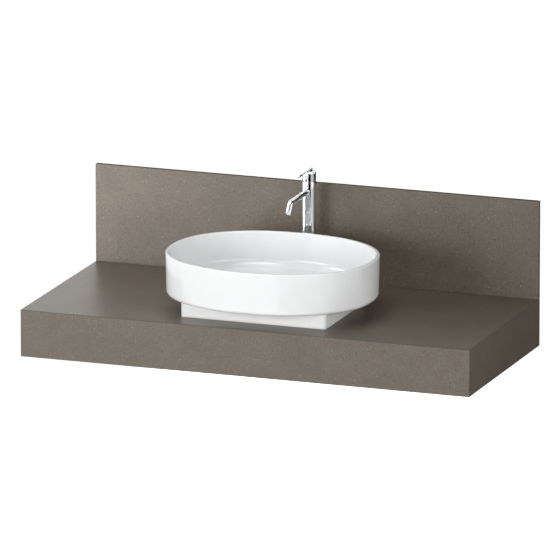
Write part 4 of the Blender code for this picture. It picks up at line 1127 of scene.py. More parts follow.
def drill(name, radius, low, high, where):
    """A plain rod to cut with, from one height to another on its own axis.

    It is turned by a degree, so that its corners never lie on the piece's own.
    """
    outline = [(0, high), (radius, high), (radius, low), (0, low)]
    off_corner = Matrix.Rotation(math.radians(1), 4, "Z")
    return shaped(name, turned(outline, DRILL_STEPS), chrome_plate, where @ off_corner)


spout_axis = at(TAP_MIDDLE.x, TAP_MIDDLE.y, SPOUT_LEVEL) @ FORWARD
carve(
    column_piece,
    drill("spout_socket", SPOUT_RADIUS + GAP, SOCKET_FLOOR, TAP_RADIUS + GAP, spout_axis),
    drill(
        "water_way",
        PASSAGE_RADIUS,
        PASSAGE_FORWARD - PASSAGE_LAP,
        SOCKET_FLOOR + GAP,
        spout_axis,
    ),
    drill(
        "mixed_port",
        PASSAGE_RADIUS - GAP,
        SPOUT_LEVEL - PASSAGE_LAP,
        CARTRIDGE_SEAT + GAP,
        tap_axis @ at(0, -PASSAGE_FORWARD, 0),
    ),
)


def paint_seam_shade(piece, level):
    """Give a piece's flat ring inside the seam the seam's painted shade, so the seam shows as a
    dark line of shade.
    """
    piece.data.materials.append(seam_shade_paint)
    for face in piece.data.polygons:
        is_flat = abs(face.normal.z) > LEVEL_NORMAL
        if is_flat and abs(face.center.z - level) < SAME_LEVEL:
            face.material_index = 1


paint_seam_shade(column_piece, COLUMN_HIGH.z)
settle(column_piece, "console", "chrome", "tap_column")

DOME_PLAY = 0.0005
DOME_RADIUS = CARTRIDGE_RADIUS - DOME_PLAY
DOME_WALL = 0.0008
DOME_ROWS = 16
STEM_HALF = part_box("lever_stem")[1].x - TAP_MIDDLE.x
STEM_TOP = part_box("lever_stem")[1].z
STEM_PLAY = 0.0015
STEM_TRAVEL = DOME_RADIUS * math.sin(math.radians(LEVER_LIFT_DEGREES))
DOME_OPENING = STEM_HALF + STEM_TRAVEL + STEM_PLAY
DOME_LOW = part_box("dome_cover")[0].z
outer_stop = math.degrees(math.acos(DOME_OPENING / DOME_RADIUS))
inner_stop = math.degrees(math.acos(DOME_OPENING / (DOME_RADIUS - DOME_WALL)))
dome_outline = [(DOME_RADIUS, DOME_LOW)]
dome_outline += bend((0, SEAM), DOME_RADIUS, 0, outer_stop, DOME_ROWS)
dome_outline += bend((0, SEAM), DOME_RADIUS - DOME_WALL, inner_stop, 0, DOME_ROWS)
dome_outline += [(DOME_RADIUS - DOME_WALL, DOME_LOW)]
dome_piece = shaped("plated_dome", turned(dome_outline), chrome_plate, tap_axis)
settle(dome_piece, "console", "chrome", "dome_cover")

# %% [markdown]
# ### Cap and lever
#
# The lever cap is a deep shell on two axes: it turns with the cartridge for hot and cold, and
# it tilts back on a pin for the flow. To leave room for the tilt, the rear of its lower edge
# is milled away on a slope a degree steeper than the lift. The bar lies on top, and a short
# peg under it goes into the cap; from the rear, a small grub screw clamps the cap on its stem.

# %% Lever cap
CAP_LOW, CAP_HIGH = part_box("lever_cap")
CAP_WALL = 0.0022
CAP_BORE = TAP_RADIUS - CAP_WALL
DOME_HEADROOM = 0.001
CAP_CEILING = SEAM + DOME_RADIUS + DOME_HEADROOM
RELIEF_SLOPE = math.radians(LEVER_LIFT_DEGREES + 1)
CAP_EASE = 0.0007
CEILING_EASE = 0.001
PEG_RADIUS = 0.002
PEG_LENGTH = 0.0032
GRUB_LOW, GRUB_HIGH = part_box("lever_grub_screw")

cap_outline = [
    (0, CAP_HIGH.z),
    (TAP_RADIUS, CAP_HIGH.z, CAP_EASE),
    (TAP_RADIUS, CAP_LOW.z, MEETING_EASE),
    (CAP_BORE, CAP_LOW.z, MEETING_EASE),
    (CAP_BORE, CAP_CEILING, CEILING_EASE),
    (0, CAP_CEILING),
]
cap_piece = shaped("plated_cap", turned(cap_outline, FINE_TURN_STEPS), chrome_plate, tap_axis)


def milled(name, low, high, where):
    """A plain block to cut with, between two corners."""
    shape = bmesh.new()
    size = Vector(high) - Vector(low)
    middle_of_block = (Vector(high) + Vector(low)) / 2
    bmesh.ops.create_cube(shape, size=1.0)
    bmesh.ops.scale(shape, vec=size, verts=shape.verts)
    bmesh.ops.translate(shape, vec=middle_of_block, verts=shape.verts)
    return shaped(name, shape, chrome_plate, where)


lift_axis = at(TAP_MIDDLE.x, TAP_MIDDLE.y, SEAM)
relief_low = (-2 * TAP_RADIUS, 0, -2 * TAP_RADIUS)
relief_high = (2 * TAP_RADIUS, 4 * TAP_RADIUS, CAP_LOW.z - SEAM)
slope = lift_axis @ Matrix.Rotation(RELIEF_SLOPE, 4, "X")
stem_reach = STEM_HALF + GAP
stem_low = (-stem_reach, -stem_reach, CAP_CEILING - SEAM - OVERRUN)
stem_high = (stem_reach, stem_reach, STEM_TOP + GAP - SEAM)
grub_axis = at(TAP_MIDDLE.x, TAP_MIDDLE.y, (GRUB_LOW.z + GRUB_HIGH.z) / 2) @ FORWARD.inverted()
grub_radius = (GRUB_HIGH.z - GRUB_LOW.z) / 2 + GAP
peg_floor = CAP_HIGH.z - PEG_LENGTH
carve(
    cap_piece,
    milled("relief", relief_low, relief_high, slope),
    milled("stem_socket", stem_low, stem_high, lift_axis),
    drill("peg_hole", PEG_RADIUS + GAP, peg_floor - GAP, CAP_HIGH.z + OVERRUN, tap_axis),
    drill("grub_hole", grub_radius, STEM_HALF, TAP_RADIUS + OVERRUN, grub_axis),
)
paint_seam_shade(cap_piece, CAP_LOW.z)
settle(cap_piece, "tap_lever", "chrome", "lever_cap")

BAR_LOW, BAR_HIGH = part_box("lever_bar")
BAR_RADIUS = (BAR_HIGH.x - BAR_LOW.x) / 2
BAR_EASE = 0.0008
bar_outline = [
    (0, TAP_MIDDLE.y - BAR_LOW.y),
    (BAR_RADIUS, TAP_MIDDLE.y - BAR_LOW.y, BAR_EASE),
    (BAR_RADIUS, TAP_MIDDLE.y - BAR_HIGH.y, BAR_EASE),
    (0, TAP_MIDDLE.y - BAR_HIGH.y),
]
bar_axis = at(TAP_MIDDLE.x, TAP_MIDDLE.y, BAR_HIGH.z - BAR_RADIUS) @ FORWARD
bar_piece = shaped("plated_lever", turned(bar_outline), chrome_plate, bar_axis)
peg = drill("peg", PEG_RADIUS, peg_floor, BAR_HIGH.z - BAR_RADIUS, tap_axis)
carve(bar_piece, peg, operation="UNION")
settle(bar_piece, "tap_lever", "chrome", "lever_bar")

# %% [markdown]
# ### Spout
#
# The spout is a thin tube that runs level out of the column and is bent down over the bowl.
# Its wall is swept along the middle line: at each place on the line, a ring of points stands
# square to it. At the nozzle the bore is opened out to take the aerator, and the rim between
# them is rounded, because it catches the light.

# %% Spout
SPOUT_WALL = 0.002
SPOUT_RUN = 0.139
SPOUT_BEND = math.radians(56)
SPOUT_BEND_RADIUS = 0.0125
NOZZLE = 0.0315
AERATOR_SEAT_WALL = 0.0009
NOZZLE_EASE = 0.0004
NOZZLE_INNER_EASE = 0.0003
AERATOR_SEAT_RADIUS = SPOUT_RADIUS - AERATOR_SEAT_WALL
AERATOR_SEAT_DEPTH = 0.008
BEND_ROWS = 28
SPOUT_STEPS = 96

setback = SPOUT_BEND_RADIUS * math.tan(SPOUT_BEND / 2)
bend_start = SPOUT_RUN - setback
line = [(SOCKET_FLOOR + GAP, 0, 0), (TAP_RADIUS, 0, 0), (bend_start, 0, 0)]
for step in range(1, BEND_ROWS + 1):
    fall = SPOUT_BEND * step / BEND_ROWS
    reach = bend_start + SPOUT_BEND_RADIUS * math.sin(fall)
    line.append((reach, -SPOUT_BEND_RADIUS * (1 - math.cos(fall)), fall))
bend_end = line[-1]


def down_nozzle(length):
    """A place on the nozzle's middle line, at a length past the end of the bend."""
    reach, drop, fall = bend_end
    return (reach + length * math.cos(fall), drop - length * math.sin(fall), fall)


def tube_ring(station, radius):
    """A ring square to the spout's middle line."""
    reach, drop, fall = station
    ring = []
    for point in round_ring(radius, 0, SPOUT_STEPS):
        lean = Vector((point.x, -math.sin(fall) * point.y, math.cos(fall) * point.y))
        ring.append(lean + Vector((0, -reach, drop)))
    return ring


nozzle_end = NOZZLE - setback
rim_outline = eased(
    [
        (SPOUT_RADIUS, nozzle_end - AERATOR_SEAT_DEPTH),
        (SPOUT_RADIUS, nozzle_end, NOZZLE_EASE),
        (AERATOR_SEAT_RADIUS, nozzle_end, NOZZLE_INNER_EASE),
        (AERATOR_SEAT_RADIUS, nozzle_end - AERATOR_SEAT_DEPTH),
        (SPOUT_RADIUS - SPOUT_WALL, nozzle_end - AERATOR_SEAT_DEPTH),
    ]
)
spout_rings = [tube_ring(station, SPOUT_RADIUS) for station in line]
spout_rings += [tube_ring(down_nozzle(length), radius) for radius, length in rim_outline]
spout_rings += [tube_ring(station, SPOUT_RADIUS - SPOUT_WALL) for station in reversed(line)]
spout_place = at(TAP_MIDDLE.x, TAP_MIDDLE.y, SPOUT_LEVEL)
spout_piece = shaped("plated_spout", skinned(spout_rings, True), chrome_plate, spout_place)
settle(spout_piece, "console", "chrome", "tap_spout")

# %% [markdown]
# ### Aerator
#
# A ring holds a small plastic plate, pierced by six jets round a seventh, which mix air into
# the water. Holes on a circle are a pattern, so a tree places one cutter for each jet and takes
# them all out.

# %% Aerator
AERATOR_WALL = 0.0011
AERATOR_SET_BACK = 0.0008
PLATE_THICKNESS = 0.004
PLATE_LEVEL = -2 * AERATOR_SET_BACK
AERATOR_EASE = 0.0003
AERATOR_STEPS = 72
JETS = 6
JET_STEPS = 24
JET_RADIUS = 0.0009
JET_CIRCLE_SHARE = 0.63

outlet_reach, outlet_drop, outlet_fall = down_nozzle(nozzle_end)
aerator_axis = (
    at(TAP_MIDDLE.x, TAP_MIDDLE.y - outlet_reach, SPOUT_LEVEL + outlet_drop)
    @ Matrix.Rotation(math.pi / 2 + outlet_fall, 4, "X")
)
ring_radius = AERATOR_SEAT_RADIUS - GAP
plate_radius = ring_radius - AERATOR_WALL
aerator_outline = [
    (ring_radius, GAP - AERATOR_SEAT_DEPTH),
    (ring_radius, -AERATOR_SET_BACK, AERATOR_EASE),
    (plate_radius, -AERATOR_SET_BACK, AERATOR_EASE),
    (plate_radius, GAP - AERATOR_SEAT_DEPTH),
]
aerator_ring = shaped(
    "aerator_ring", turned(aerator_outline, AERATOR_STEPS), chrome_plate, aerator_axis
)
settle(aerator_ring, "console", "chrome", "aerator_housing")

pierced_plate, sizes = open_rule(
    "pierced_plate",
    {"Jets": "Int", "Jet Radius": "Float", "Circle Radius": "Float", "Cut Length": "Float"},
)
circle = add(
    pierced_plate,
    "GeometryNodeMeshCircle",
    {"Vertices": sizes.outputs["Jets"], "Radius": sizes.outputs["Circle Radius"]},
)
centre = add(pierced_plate, "GeometryNodeMeshLine", {"Count": 1})
spots = add(pierced_plate, "GeometryNodeJoinGeometry")
for found in (circle, centre):
    pierced_plate.links.new(found.outputs["Mesh"], spots.inputs["Geometry"])
cutter = add(
    pierced_plate,
    "GeometryNodeMeshCylinder",
    {
        "Vertices": JET_STEPS,
        "Radius": sizes.outputs["Jet Radius"],
        "Depth": sizes.outputs["Cut Length"],
    },
)
cutters = add(
    pierced_plate,
    "GeometryNodeInstanceOnPoints",
    {"Points": spots, "Instance": cutter.outputs["Mesh"]},
)
real_cutters = add(pierced_plate, "GeometryNodeRealizeInstances", {"Geometry": cutters})
pierced = add(
    pierced_plate,
    "GeometryNodeMeshBoolean",
    {"Mesh 1": sizes.outputs["Seed Mesh"], "Mesh 2": real_cutters},
    operation="DIFFERENCE",
    solver="EXACT",
)
close_rule(pierced_plate, pierced.outputs["Mesh"], acetal)

blank_outline = [
    (0, PLATE_LEVEL),
    (plate_radius - GAP, PLATE_LEVEL, AERATOR_EASE),
    (plate_radius - GAP, PLATE_LEVEL - PLATE_THICKNESS),
    (0, PLATE_LEVEL - PLATE_THICKNESS),
]
blank = shaped("plate_blank", turned(blank_outline, AERATOR_STEPS), acetal)
blank_mesh = blank.data
bpy.data.objects.remove(blank)
aerator_plate = grow(
    "aerator_plate",
    pierced_plate,
    blank_mesh,
    Jets=JETS,
    Jet_Radius=JET_RADIUS,
    Circle_Radius=plate_radius * JET_CIRCLE_SHARE,
    Cut_Length=4 * PLATE_THICKNESS,
)
aerator_plate.data.transform(aerator_axis)
settle(aerator_plate, "console", "plastic", "aerator_insert")

# %% [markdown]
# ## Thread
#
# A thread is a groove that climbs one pitch in each turn. So the depth at any point of the wall
# depends on one number: its height in pitches, less its share of a turn. The fraction of that
# number runs from 0 to 1 across each groove, and a peak with flattened tips makes the profile.
# The tree pushes the wall of a plain blank inwards by that depth, and a mark on the points says
# where on the blank there is thread.

# %% Thread rule
# The flank of the groove, from its tip to its root, in pitches
THREAD_TIP, THREAD_ROOT = 0.06, 0.42

cut_thread, sizes = open_rule(
    "cut_thread",
    {"Pitch": "Float", "Depth": "Float", "Finish": "Material"},
)
place = add(cut_thread, "GeometryNodeInputPosition")
part = add(cut_thread, "ShaderNodeSeparateXYZ", {"Vector": place})
angle = add(
    cut_thread,
    "ShaderNodeMath",
    {0: part.outputs["Y"], 1: part.outputs["X"]},
    operation="ARCTAN2",
)
share = add(cut_thread, "ShaderNodeMath", {0: angle, 1: math.tau}, operation="DIVIDE")
pitches = add(
    cut_thread,
    "ShaderNodeMath",
    {0: part.outputs["Z"], 1: sizes.outputs["Pitch"]},
    operation="DIVIDE",
)
climb = add(cut_thread, "ShaderNodeMath", {0: pitches, 1: share}, operation="SUBTRACT")
groove = add(cut_thread, "ShaderNodeMath", {0: climb, 1: 0.5}, operation="PINGPONG")
flank = add(
    cut_thread,
    "ShaderNodeMapRange",
    {"Value": groove, "From Min": THREAD_TIP, "From Max": THREAD_ROOT},
)
marked = add(cut_thread, "GeometryNodeInputNamedAttribute", {"Name": "threaded"})
deep = add(
    cut_thread,
    "ShaderNodeMath",
    {0: flank, 1: sizes.outputs["Depth"]},
    operation="MULTIPLY",
)
marked_deep = add(
    cut_thread,
    "ShaderNodeMath",
    {0: deep, 1: marked.outputs["Attribute"]},
    operation="MULTIPLY",
)
flat = add(
    cut_thread,
    "ShaderNodeVectorMath",
    {0: place, 1: (1.0, 1.0, 0.0)},
    operation="MULTIPLY",
)
outwards = add(cut_thread, "ShaderNodeVectorMath", {0: flat}, operation="NORMALIZE")
inwards = add(
    cut_thread,
    "ShaderNodeMath",
    {0: marked_deep, 1: -1.0},
    operation="MULTIPLY",
)
push = add(
    cut_thread,
    "ShaderNodeVectorMath",
    {0: outwards, "Scale": inwards},
    operation="SCALE",
)
pushed = add(
    cut_thread,
    "GeometryNodeSetPosition",
    {"Geometry": sizes.outputs["Seed Mesh"], "Offset": push},
)
close_rule(cut_thread, pushed, sizes.outputs["Finish"])


def wall_points(radius, high, low, rows):
    """Evenly spaced outline points down a wall."""
    return [(radius, high + (low - high) * row / rows) for row in range(rows + 1)]


def threaded(blank, crest, low, high, pitch, depth, place_it):
    """Cut a thread in a blank's wall between two heights; it runs out over one pitch."""
    marks = blank.data.attributes.new("threaded", "FLOAT", "POINT").data
    for vertex, mark in zip(blank.data.vertices, marks):
        on_wall = abs(math.hypot(vertex.co.x, vertex.co.y) - crest) < SAME_LEVEL
        from_end = min(vertex.co.z - low, high - vertex.co.z) / pitch
        mark.value = on_wall * min(1, max(0, from_end))
    name, mesh = blank.name, blank.data
    finish = mesh.materials[0]
    bpy.data.objects.remove(blank)
    piece = grow(name, cut_thread, mesh, Pitch=pitch, Depth=depth, Finish=finish)
    piece.data.transform(place_it)
    return piece


print(cut_thread.name, len(cut_thread.nodes), "nodes")

# %% [markdown]
# ## Waste
#
# The waste's flange sits in a recess of the bowl, and its tailpiece goes down through bowl and
# stone, with the inch thread that all wastes share: eleven threads to the inch. A brass nut
# pulls the stack together from below. The plug stands open above the flange.

# %% Waste body
FLANGE_TOP = COUNTER_TOP + FLOOR_EDGE - FLOOR_FALL
WASTE_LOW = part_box("waste_body")[0].z
FLANGE_PLAY = 0.003
FLANGE_RADIUS = WASTE_RECESS / 2 - FLANGE_PLAY
FLANGE_THICKNESS = 0.0025
TAIL_RADIUS = 0.02095
TAIL_BORE = 0.017
NECK_RADIUS = 0.0195
CONE_RADIUS = 0.022
CONE_DEPTH = 0.0095
INCH_PITCH = 0.0254 / 11
INCH_DEPTH = 0.00148
INCH_ROWS = 9
THREAD_PAST_NUT = 0.006
TAIL_CHAMFER = 0.0008
THREAD_START = 0.0006
# The edge that the water runs over is round, and the rest is deburred
FLANGE_EASE = 0.0012
BEND_EASE = 0.0006
INNER_EASE = 0.0004
DEBURRED = 0.0003
waste_axis = at(0, BASIN_MIDDLE.y, 0)

thread_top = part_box("waste_nut")[1].z + THREAD_PAST_NUT
tail_rows = round((thread_top - WASTE_LOW) / INCH_PITCH * INCH_ROWS)
waste_outline = [
    (CONE_RADIUS, FLANGE_TOP, INNER_EASE),
    (FLANGE_RADIUS, FLANGE_TOP, FLANGE_EASE),
    (FLANGE_RADIUS, FLANGE_TOP - FLANGE_THICKNESS, DEBURRED),
    (TAIL_RADIUS, FLANGE_TOP - FLANGE_THICKNESS),
    *wall_points(TAIL_RADIUS, thread_top, WASTE_LOW + TAIL_CHAMFER, tail_rows),
    (TAIL_RADIUS - TAIL_CHAMFER, WASTE_LOW),
    (TAIL_BORE, WASTE_LOW, DEBURRED),
    (TAIL_BORE, FLANGE_TOP - CONE_DEPTH, BEND_EASE),
    (NECK_RADIUS, FLANGE_TOP - FLANGE_THICKNESS, INNER_EASE),
]
waste_blank = shaped("flanged_waste", turned(waste_outline), chrome_plate)
waste_piece = threaded(
    waste_blank,
    TAIL_RADIUS,
    WASTE_LOW + THREAD_START,
    thread_top,
    INCH_PITCH,
    INCH_DEPTH,
    waste_axis,
)
settle(waste_piece, "console", "chrome", "waste_body")

COVER_LOW, COVER_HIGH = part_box("plug_cover")
COVER_RADIUS = (COVER_HIGH.x - COVER_LOW.x) / 2
COVER_CROWN = 0.0012
CROWN_SHARE = 0.93
CROWN_ROWS = 10
CROWN_EASE = 0.0014
COVER_EASE = 0.0012
SOCKET_RADIUS = 0.0043
PLUG_SOCKET_DEPTH = 0.0028
SOCKET_TOP = COVER_LOW.z + PLUG_SOCKET_DEPTH
crown = []
for row in range(CROWN_ROWS + 1):
    share = row / CROWN_ROWS
    radius = COVER_RADIUS * CROWN_SHARE * share
    crown.append((radius, COVER_HIGH.z - COVER_CROWN * share * share))
cover_outline = crown + [
    (COVER_RADIUS, COVER_HIGH.z - COVER_CROWN, CROWN_EASE),
    (COVER_RADIUS, COVER_LOW.z, COVER_EASE),
    (SOCKET_RADIUS, COVER_LOW.z),
    (SOCKET_RADIUS, SOCKET_TOP),
    (0, SOCKET_TOP),
]
plug_piece = shaped("plug_lid", turned(cover_outline, FINE_TURN_STEPS), chrome_plate, waste_axis)
settle(plug_piece, "waste_plug", "chrome", "plug_cover")

# %% [markdown]
# Seals and washers are simple rings, pressed or cut from sheet, so their corners are only
# slightly broken. One table lists them all: the piece, its solid, its bore, how far its corners
# are broken, its finish and slot, and the body that it rides on.

# %% Rings
WASTE_RING_BORE = TAIL_RADIUS + GAP
BASE_RING_BORE = 0.0142
RUBBER = (black_rubber, "rubber")
PLASTIC = (acetal, "plastic")
RINGS = (
    ("flange_gasket", "flange_seal", WASTE_RING_BORE, 0.0004, *RUBBER, "console"),
    ("under_stone_gasket", "counter_seal", WASTE_RING_BORE, 0.0008, *RUBBER, "console"),
    ("slip_washer", "waste_washer", WASTE_RING_BORE, 0.0004, *PLASTIC, "console"),
    ("column_gasket", "tap_base_gasket", BASE_RING_BORE, 0.0003, *RUBBER, "console"),
    ("plug_gasket", "plug_seal", SOCKET_RADIUS, 0.0007, *RUBBER, "waste_plug"),
)
for name, solid, bore, ease, finish, slot, ring_body in RINGS:
    low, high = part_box(solid)
    radius = (high.x - low.x) / 2
    outline = [
        (radius, high.z, ease),
        (radius, low.z, ease),
        (bore, low.z, ease),
        (bore, high.z, ease),
    ]
    ring_place = at((low.x + high.x) / 2, (low.y + high.y) / 2, 0)
    ring = shaped(name, turned(outline), finish, ring_place)
    settle(ring, ring_body, slot, solid)

# %% [markdown]
# A nut is a slice of hexagonal bar. Its corners are turned off at 30 degrees on both sides, so
# that it doesn't scratch what it turns on: that leaves the curved edges that every nut has.

# %% Nuts
NUT_SIDES = 6
NUT_CHAMFER = math.radians(30)
# The flat face of a nut reaches this share of the way to its flats
NUT_FACE_SHARE = 0.94
STUD_NUT_BORE = 0.0033


def nut(name, solid, bore, finish, slot):
    """A hexagon nut with turned corners, in a CAD nut's place."""
    low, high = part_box(solid)
    flats = high.y - low.y
    corner = flats / math.sqrt(3)
    face_radius = flats / 2 * NUT_FACE_SHARE
    slope = (corner - face_radius) * math.tan(NUT_CHAMFER)
    outline = [
        (0, high.z),
        (face_radius, high.z),
        (corner + GAP, high.z - slope),
        (corner + GAP, low.z + slope),
        (face_radius, low.z),
        (0, low.z),
    ]
    nut_axis = at((low.x + high.x) / 2, (low.y + high.y) / 2, 0)
    piece = shaped(name, turned(outline), finish, nut_axis)
    hexagon = bmesh.new()
    for height in (low.z - GAP, high.z + GAP):
        turns = [math.radians(360 / NUT_SIDES * number) for number in range(NUT_SIDES)]
        corners = [(corner * math.cos(turn), corner * math.sin(turn), height) for turn in turns]
        hexagon.faces.new([hexagon.verts.new(point) for point in corners])
    hexagon.verts.ensure_lookup_table()
    for number in range(NUT_SIDES):
        after = (number + 1) % NUT_SIDES
        ring = [number, after, after + NUT_SIDES, number + NUT_SIDES]
        hexagon.faces.new([hexagon.verts[index] for index in ring])
    carve(piece, shaped("bar", hexagon, finish, nut_axis), operation="INTERSECT")
    carve(piece, drill("bore", bore, low.z - OVERRUN, high.z + OVERRUN, nut_axis))
    return settle(piece, "console", slot, solid)


nut("waste_back_nut", "waste_nut", WASTE_RING_BORE, nut_brass, "brass")
nut("long_stud_nut", "stud_nut", STUD_NUT_BORE, foot_brass, "brass")

# %% [markdown]
# Under the stone, a horseshoe of rubber and one of steel spread the tap's pull: their slot lets
# the hoses pass. The nut runs on a stud with the ordinary 6 mm thread, one millimetre a turn.

# %% Horseshoes and stud
HORSESHOE_SLOT = 0.0115
STUD_LOW, STUD_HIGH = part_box("mounting_stud")
STUD_RADIUS = (STUD_HIGH.x - STUD_LOW.x) / 2
STUD_Y = (STUD_LOW.y + STUD_HIGH.y) / 2
stud_axis = at(TAP_MIDDLE.x, STUD_Y, 0)
STUD_PITCH = 0.001
STUD_DEPTH = 0.00061
STUD_ROWS = 6
STUD_END_RADIUS = STUD_RADIUS - 0.0007
STUD_CHAMFER = 0.0006
# The sheet that is left between the slot and the stud's hole
BRIDGE = 0.0012
SHEET_OVERRUN = 0.001
RUBBER_EASE = 0.0004
STEEL_EASE = 0.0003
OUTER_ROWS = 72
CORNER_ROWS = 8


def horseshoe(name, solid, finish, slot, ease):
    """A round plate with a slot that is open to the front, and a hole for the stud."""
    low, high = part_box(solid)
    outer = (high.x - low.x) / 2
    half_angle = math.degrees(math.asin(HORSESHOE_SLOT / outer))
    slot_end = STUD_Y - TAP_MIDDLE.y - STUD_RADIUS - GAP - BRIDGE
    corner = HORSESHOE_SLOT / 3
    in_from_side, in_from_end = HORSESHOE_SLOT - corner, slot_end - corner
    outline = bend((0, 0), outer, half_angle - 90, 270 - half_angle, OUTER_ROWS)
    outline += bend((-in_from_side, in_from_end), corner, 180, 90, CORNER_ROWS)
    outline += bend((in_from_side, in_from_end), corner, 90, 0, CORNER_ROWS)
    rings = [[Vector((x, y, height)) for x, y in outline] for height in (low.z, high.z)]
    shape = skinned(rings, False)
    shape.verts.ensure_lookup_table()
    count = len(outline)
    for start in (0, count):
        shape.faces.new([shape.verts[start + step] for step in range(count)])
    piece = shaped(name, shape, finish, tap_axis)
    eased_edge = piece.modifiers.new("broken edge", "BEVEL")
    eased_edge.width = ease
    eased_edge.segments = 2
    hole_low, hole_high = low.z - SHEET_OVERRUN, high.z + SHEET_OVERRUN
    carve(piece, drill("stud_hole", STUD_RADIUS + GAP, hole_low, hole_high, stud_axis))
    return settle(piece, "console", slot, solid)


horseshoe("rubber_spreader", "rubber_horseshoe", black_rubber, "rubber", RUBBER_EASE)
horseshoe("steel_spreader", "steel_horseshoe", zinc_plate, "zinc_steel", STEEL_EASE)

stud_rows = round((STUD_HIGH.z - STUD_LOW.z) / STUD_PITCH * STUD_ROWS)
wall_high, wall_low = STUD_HIGH.z - STUD_CHAMFER, STUD_LOW.z + STUD_CHAMFER
stud_outline = [
    (0, STUD_HIGH.z),
    (STUD_END_RADIUS, STUD_HIGH.z),
    *wall_points(STUD_RADIUS, wall_high, wall_low, stud_rows),
    (STUD_END_RADIUS, STUD_LOW.z),
    (0, STUD_LOW.z),
]
stud_blank = shaped("threaded_stud", turned(stud_outline, COARSE_TURN_STEPS), zinc_plate)
stud_piece = threaded(
    stud_blank,
    STUD_RADIUS,
    STUD_LOW.z,
    STUD_HIGH.z,
    STUD_PITCH,
    STUD_DEPTH,
    stud_axis,
)
settle(stud_piece, "console", "zinc_steel", "mounting_stud")

# %% [markdown]
# ## Fixings of the brackets
#
# Six pan-head screws hold the carrier on its brackets. They are all one screw, so it is made
# once, with its thread and its cross recess, and a tree puts a copy on each place. A fitter
# doesn't stop at the same angle each time: each copy has its own turn, drawn from a fixed seed.

# %% Screws
SCREWS = sorted(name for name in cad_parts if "_bracket_screw_" in name)
HEAD_RADIUS = 0.00475
HEAD_HEIGHT = 0.003
# A pan head's side is upright up to this share of its height
HEAD_SIDE_SHARE = 0.35
HEAD_EASE = 0.0001
HEAD_STEP = 15
SHANK_RADIUS = 0.0025
SCREW_LENGTH = 0.018
SCREW_PITCH = 0.0022
SCREW_DEPTH = 0.0008
SCREW_ROWS = 7
SCREW_PLAIN = 0.005
SCREW_SEED = 7
CROSS_REACH = 0.0026
CROSS_HALF = 0.0006
CROSS_FLOOR = -0.0014
CROSS_TOP = -0.005

shank_rows = round(SCREW_LENGTH / SCREW_PITCH * SCREW_ROWS)
screw_outline = [(0, -HEAD_HEIGHT)]
for turn in range(HEAD_STEP, 91, HEAD_STEP):
    lean = math.radians(turn)
    rise = HEAD_SIDE_SHARE + (1 - HEAD_SIDE_SHARE) * math.cos(lean)
    screw_outline.append((HEAD_RADIUS * math.sin(lean), -HEAD_HEIGHT * rise))
screw_outline += [
    (HEAD_RADIUS, -HEAD_EASE),
    (HEAD_RADIUS - HEAD_EASE, 0),
    *wall_points(SHANK_RADIUS, 0, SCREW_LENGTH - SHANK_RADIUS, shank_rows),
    (0, SCREW_LENGTH),
]
screw = shaped("screw", turned(screw_outline, COARSE_TURN_STEPS), zinc_plate)
own_place = at(0, 0, 0)
cross = [
    milled("cross", (-x, -y, CROSS_TOP), (x, y, CROSS_FLOOR), own_place)
    for x, y in ((CROSS_REACH, CROSS_HALF), (CROSS_HALF, CROSS_REACH))
]
screw = threaded(
    screw,
    SHANK_RADIUS,
    SCREW_PLAIN,
    SCREW_LENGTH,
    SCREW_PITCH,
    SCREW_DEPTH,
    own_place,
)
carve(screw, *cross)

driven_screws, sizes = open_rule("driven_screws", {"Screw": "Object", "Seed": "Int"})
chosen = add(
    driven_screws,
    "GeometryNodeObjectInfo",
    {"Object": sizes.outputs["Screw"], "As Instance": True},
)
stopped = add(
    driven_screws,
    "FunctionNodeRandomValue",
    {"Min": (0, 0, 0), "Max": (0, 0, math.tau), "Seed": sizes.outputs["Seed"]},
    data_type="FLOAT_VECTOR",
)
driven = add(
    driven_screws,
    "GeometryNodeInstanceOnPoints",
    {
        "Points": sizes.outputs["Seed Mesh"],
        "Instance": chosen.outputs["Geometry"],
        "Rotation": stopped,
    },
)
close_rule(driven_screws, driven, zinc_plate)

spots = bpy.data.meshes.new("screw_places")
under_heads = [(*middle(name).xy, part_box(name)[0].z + HEAD_HEIGHT) for name in SCREWS]
spots.from_pydata(under_heads, [], [])
screws = grow("bracket_screws", driven_screws, spots, Screw=screw, Seed=SCREW_SEED)
bpy.data.objects.remove(screw)
settle(screws, "console", "zinc_steel", *SCREWS)

# %% [markdown]
# The webs are welded to their bars before the coating. A bead of weld is a string of small
# frozen pools, each lapping the last. A tree runs a round profile along the joint, and its
# radius swells once for each pool.

# %% Weld beads
BEAD_RADIUS = 0.0022
BEAD_STEPS = 12
POOL_LENGTH = 0.0032
POOL_ROWS = 5
# From the start of a pool to its end, the bead's size changes by this share
POOL_SWELL = -0.16
WEB_HALF = 0.0025
BAR_THICKNESS = 0.006
WELD_CORNER = 0.004
WELD_TIP = 0.030
WELD_HEEL = 0.012

weld_bead, sizes = open_rule(
    "weld_bead",
    {"Bead Radius": "Float", "Pool Length": "Float", "Swell": "Float"},
)
joint = add(weld_bead, "GeometryNodeMeshToCurve", {"Mesh": sizes.outputs["Seed Mesh"]})
fine = add(
    weld_bead,
    "GeometryNodeResampleCurve",
    {"Curve": joint, "Length": POOL_LENGTH / POOL_ROWS},
    mode="LENGTH",
)
along = add(weld_bead, "GeometryNodeSplineParameter")
pool = add(
    weld_bead,
    "ShaderNodeMath",
    {0: along.outputs["Length"], 1: sizes.outputs["Pool Length"]},
    operation="DIVIDE",
)
saw = add(weld_bead, "ShaderNodeMath", {0: pool}, operation="FRACT")
lap = add(
    weld_bead,
    "ShaderNodeMath",
    {0: saw, 1: sizes.outputs["Swell"], 2: 1.0},
    operation="MULTIPLY_ADD",
)
section_circle = add(
    weld_bead,
    "GeometryNodeCurvePrimitiveCircle",
    {"Resolution": BEAD_STEPS, "Radius": sizes.outputs["Bead Radius"]},
)
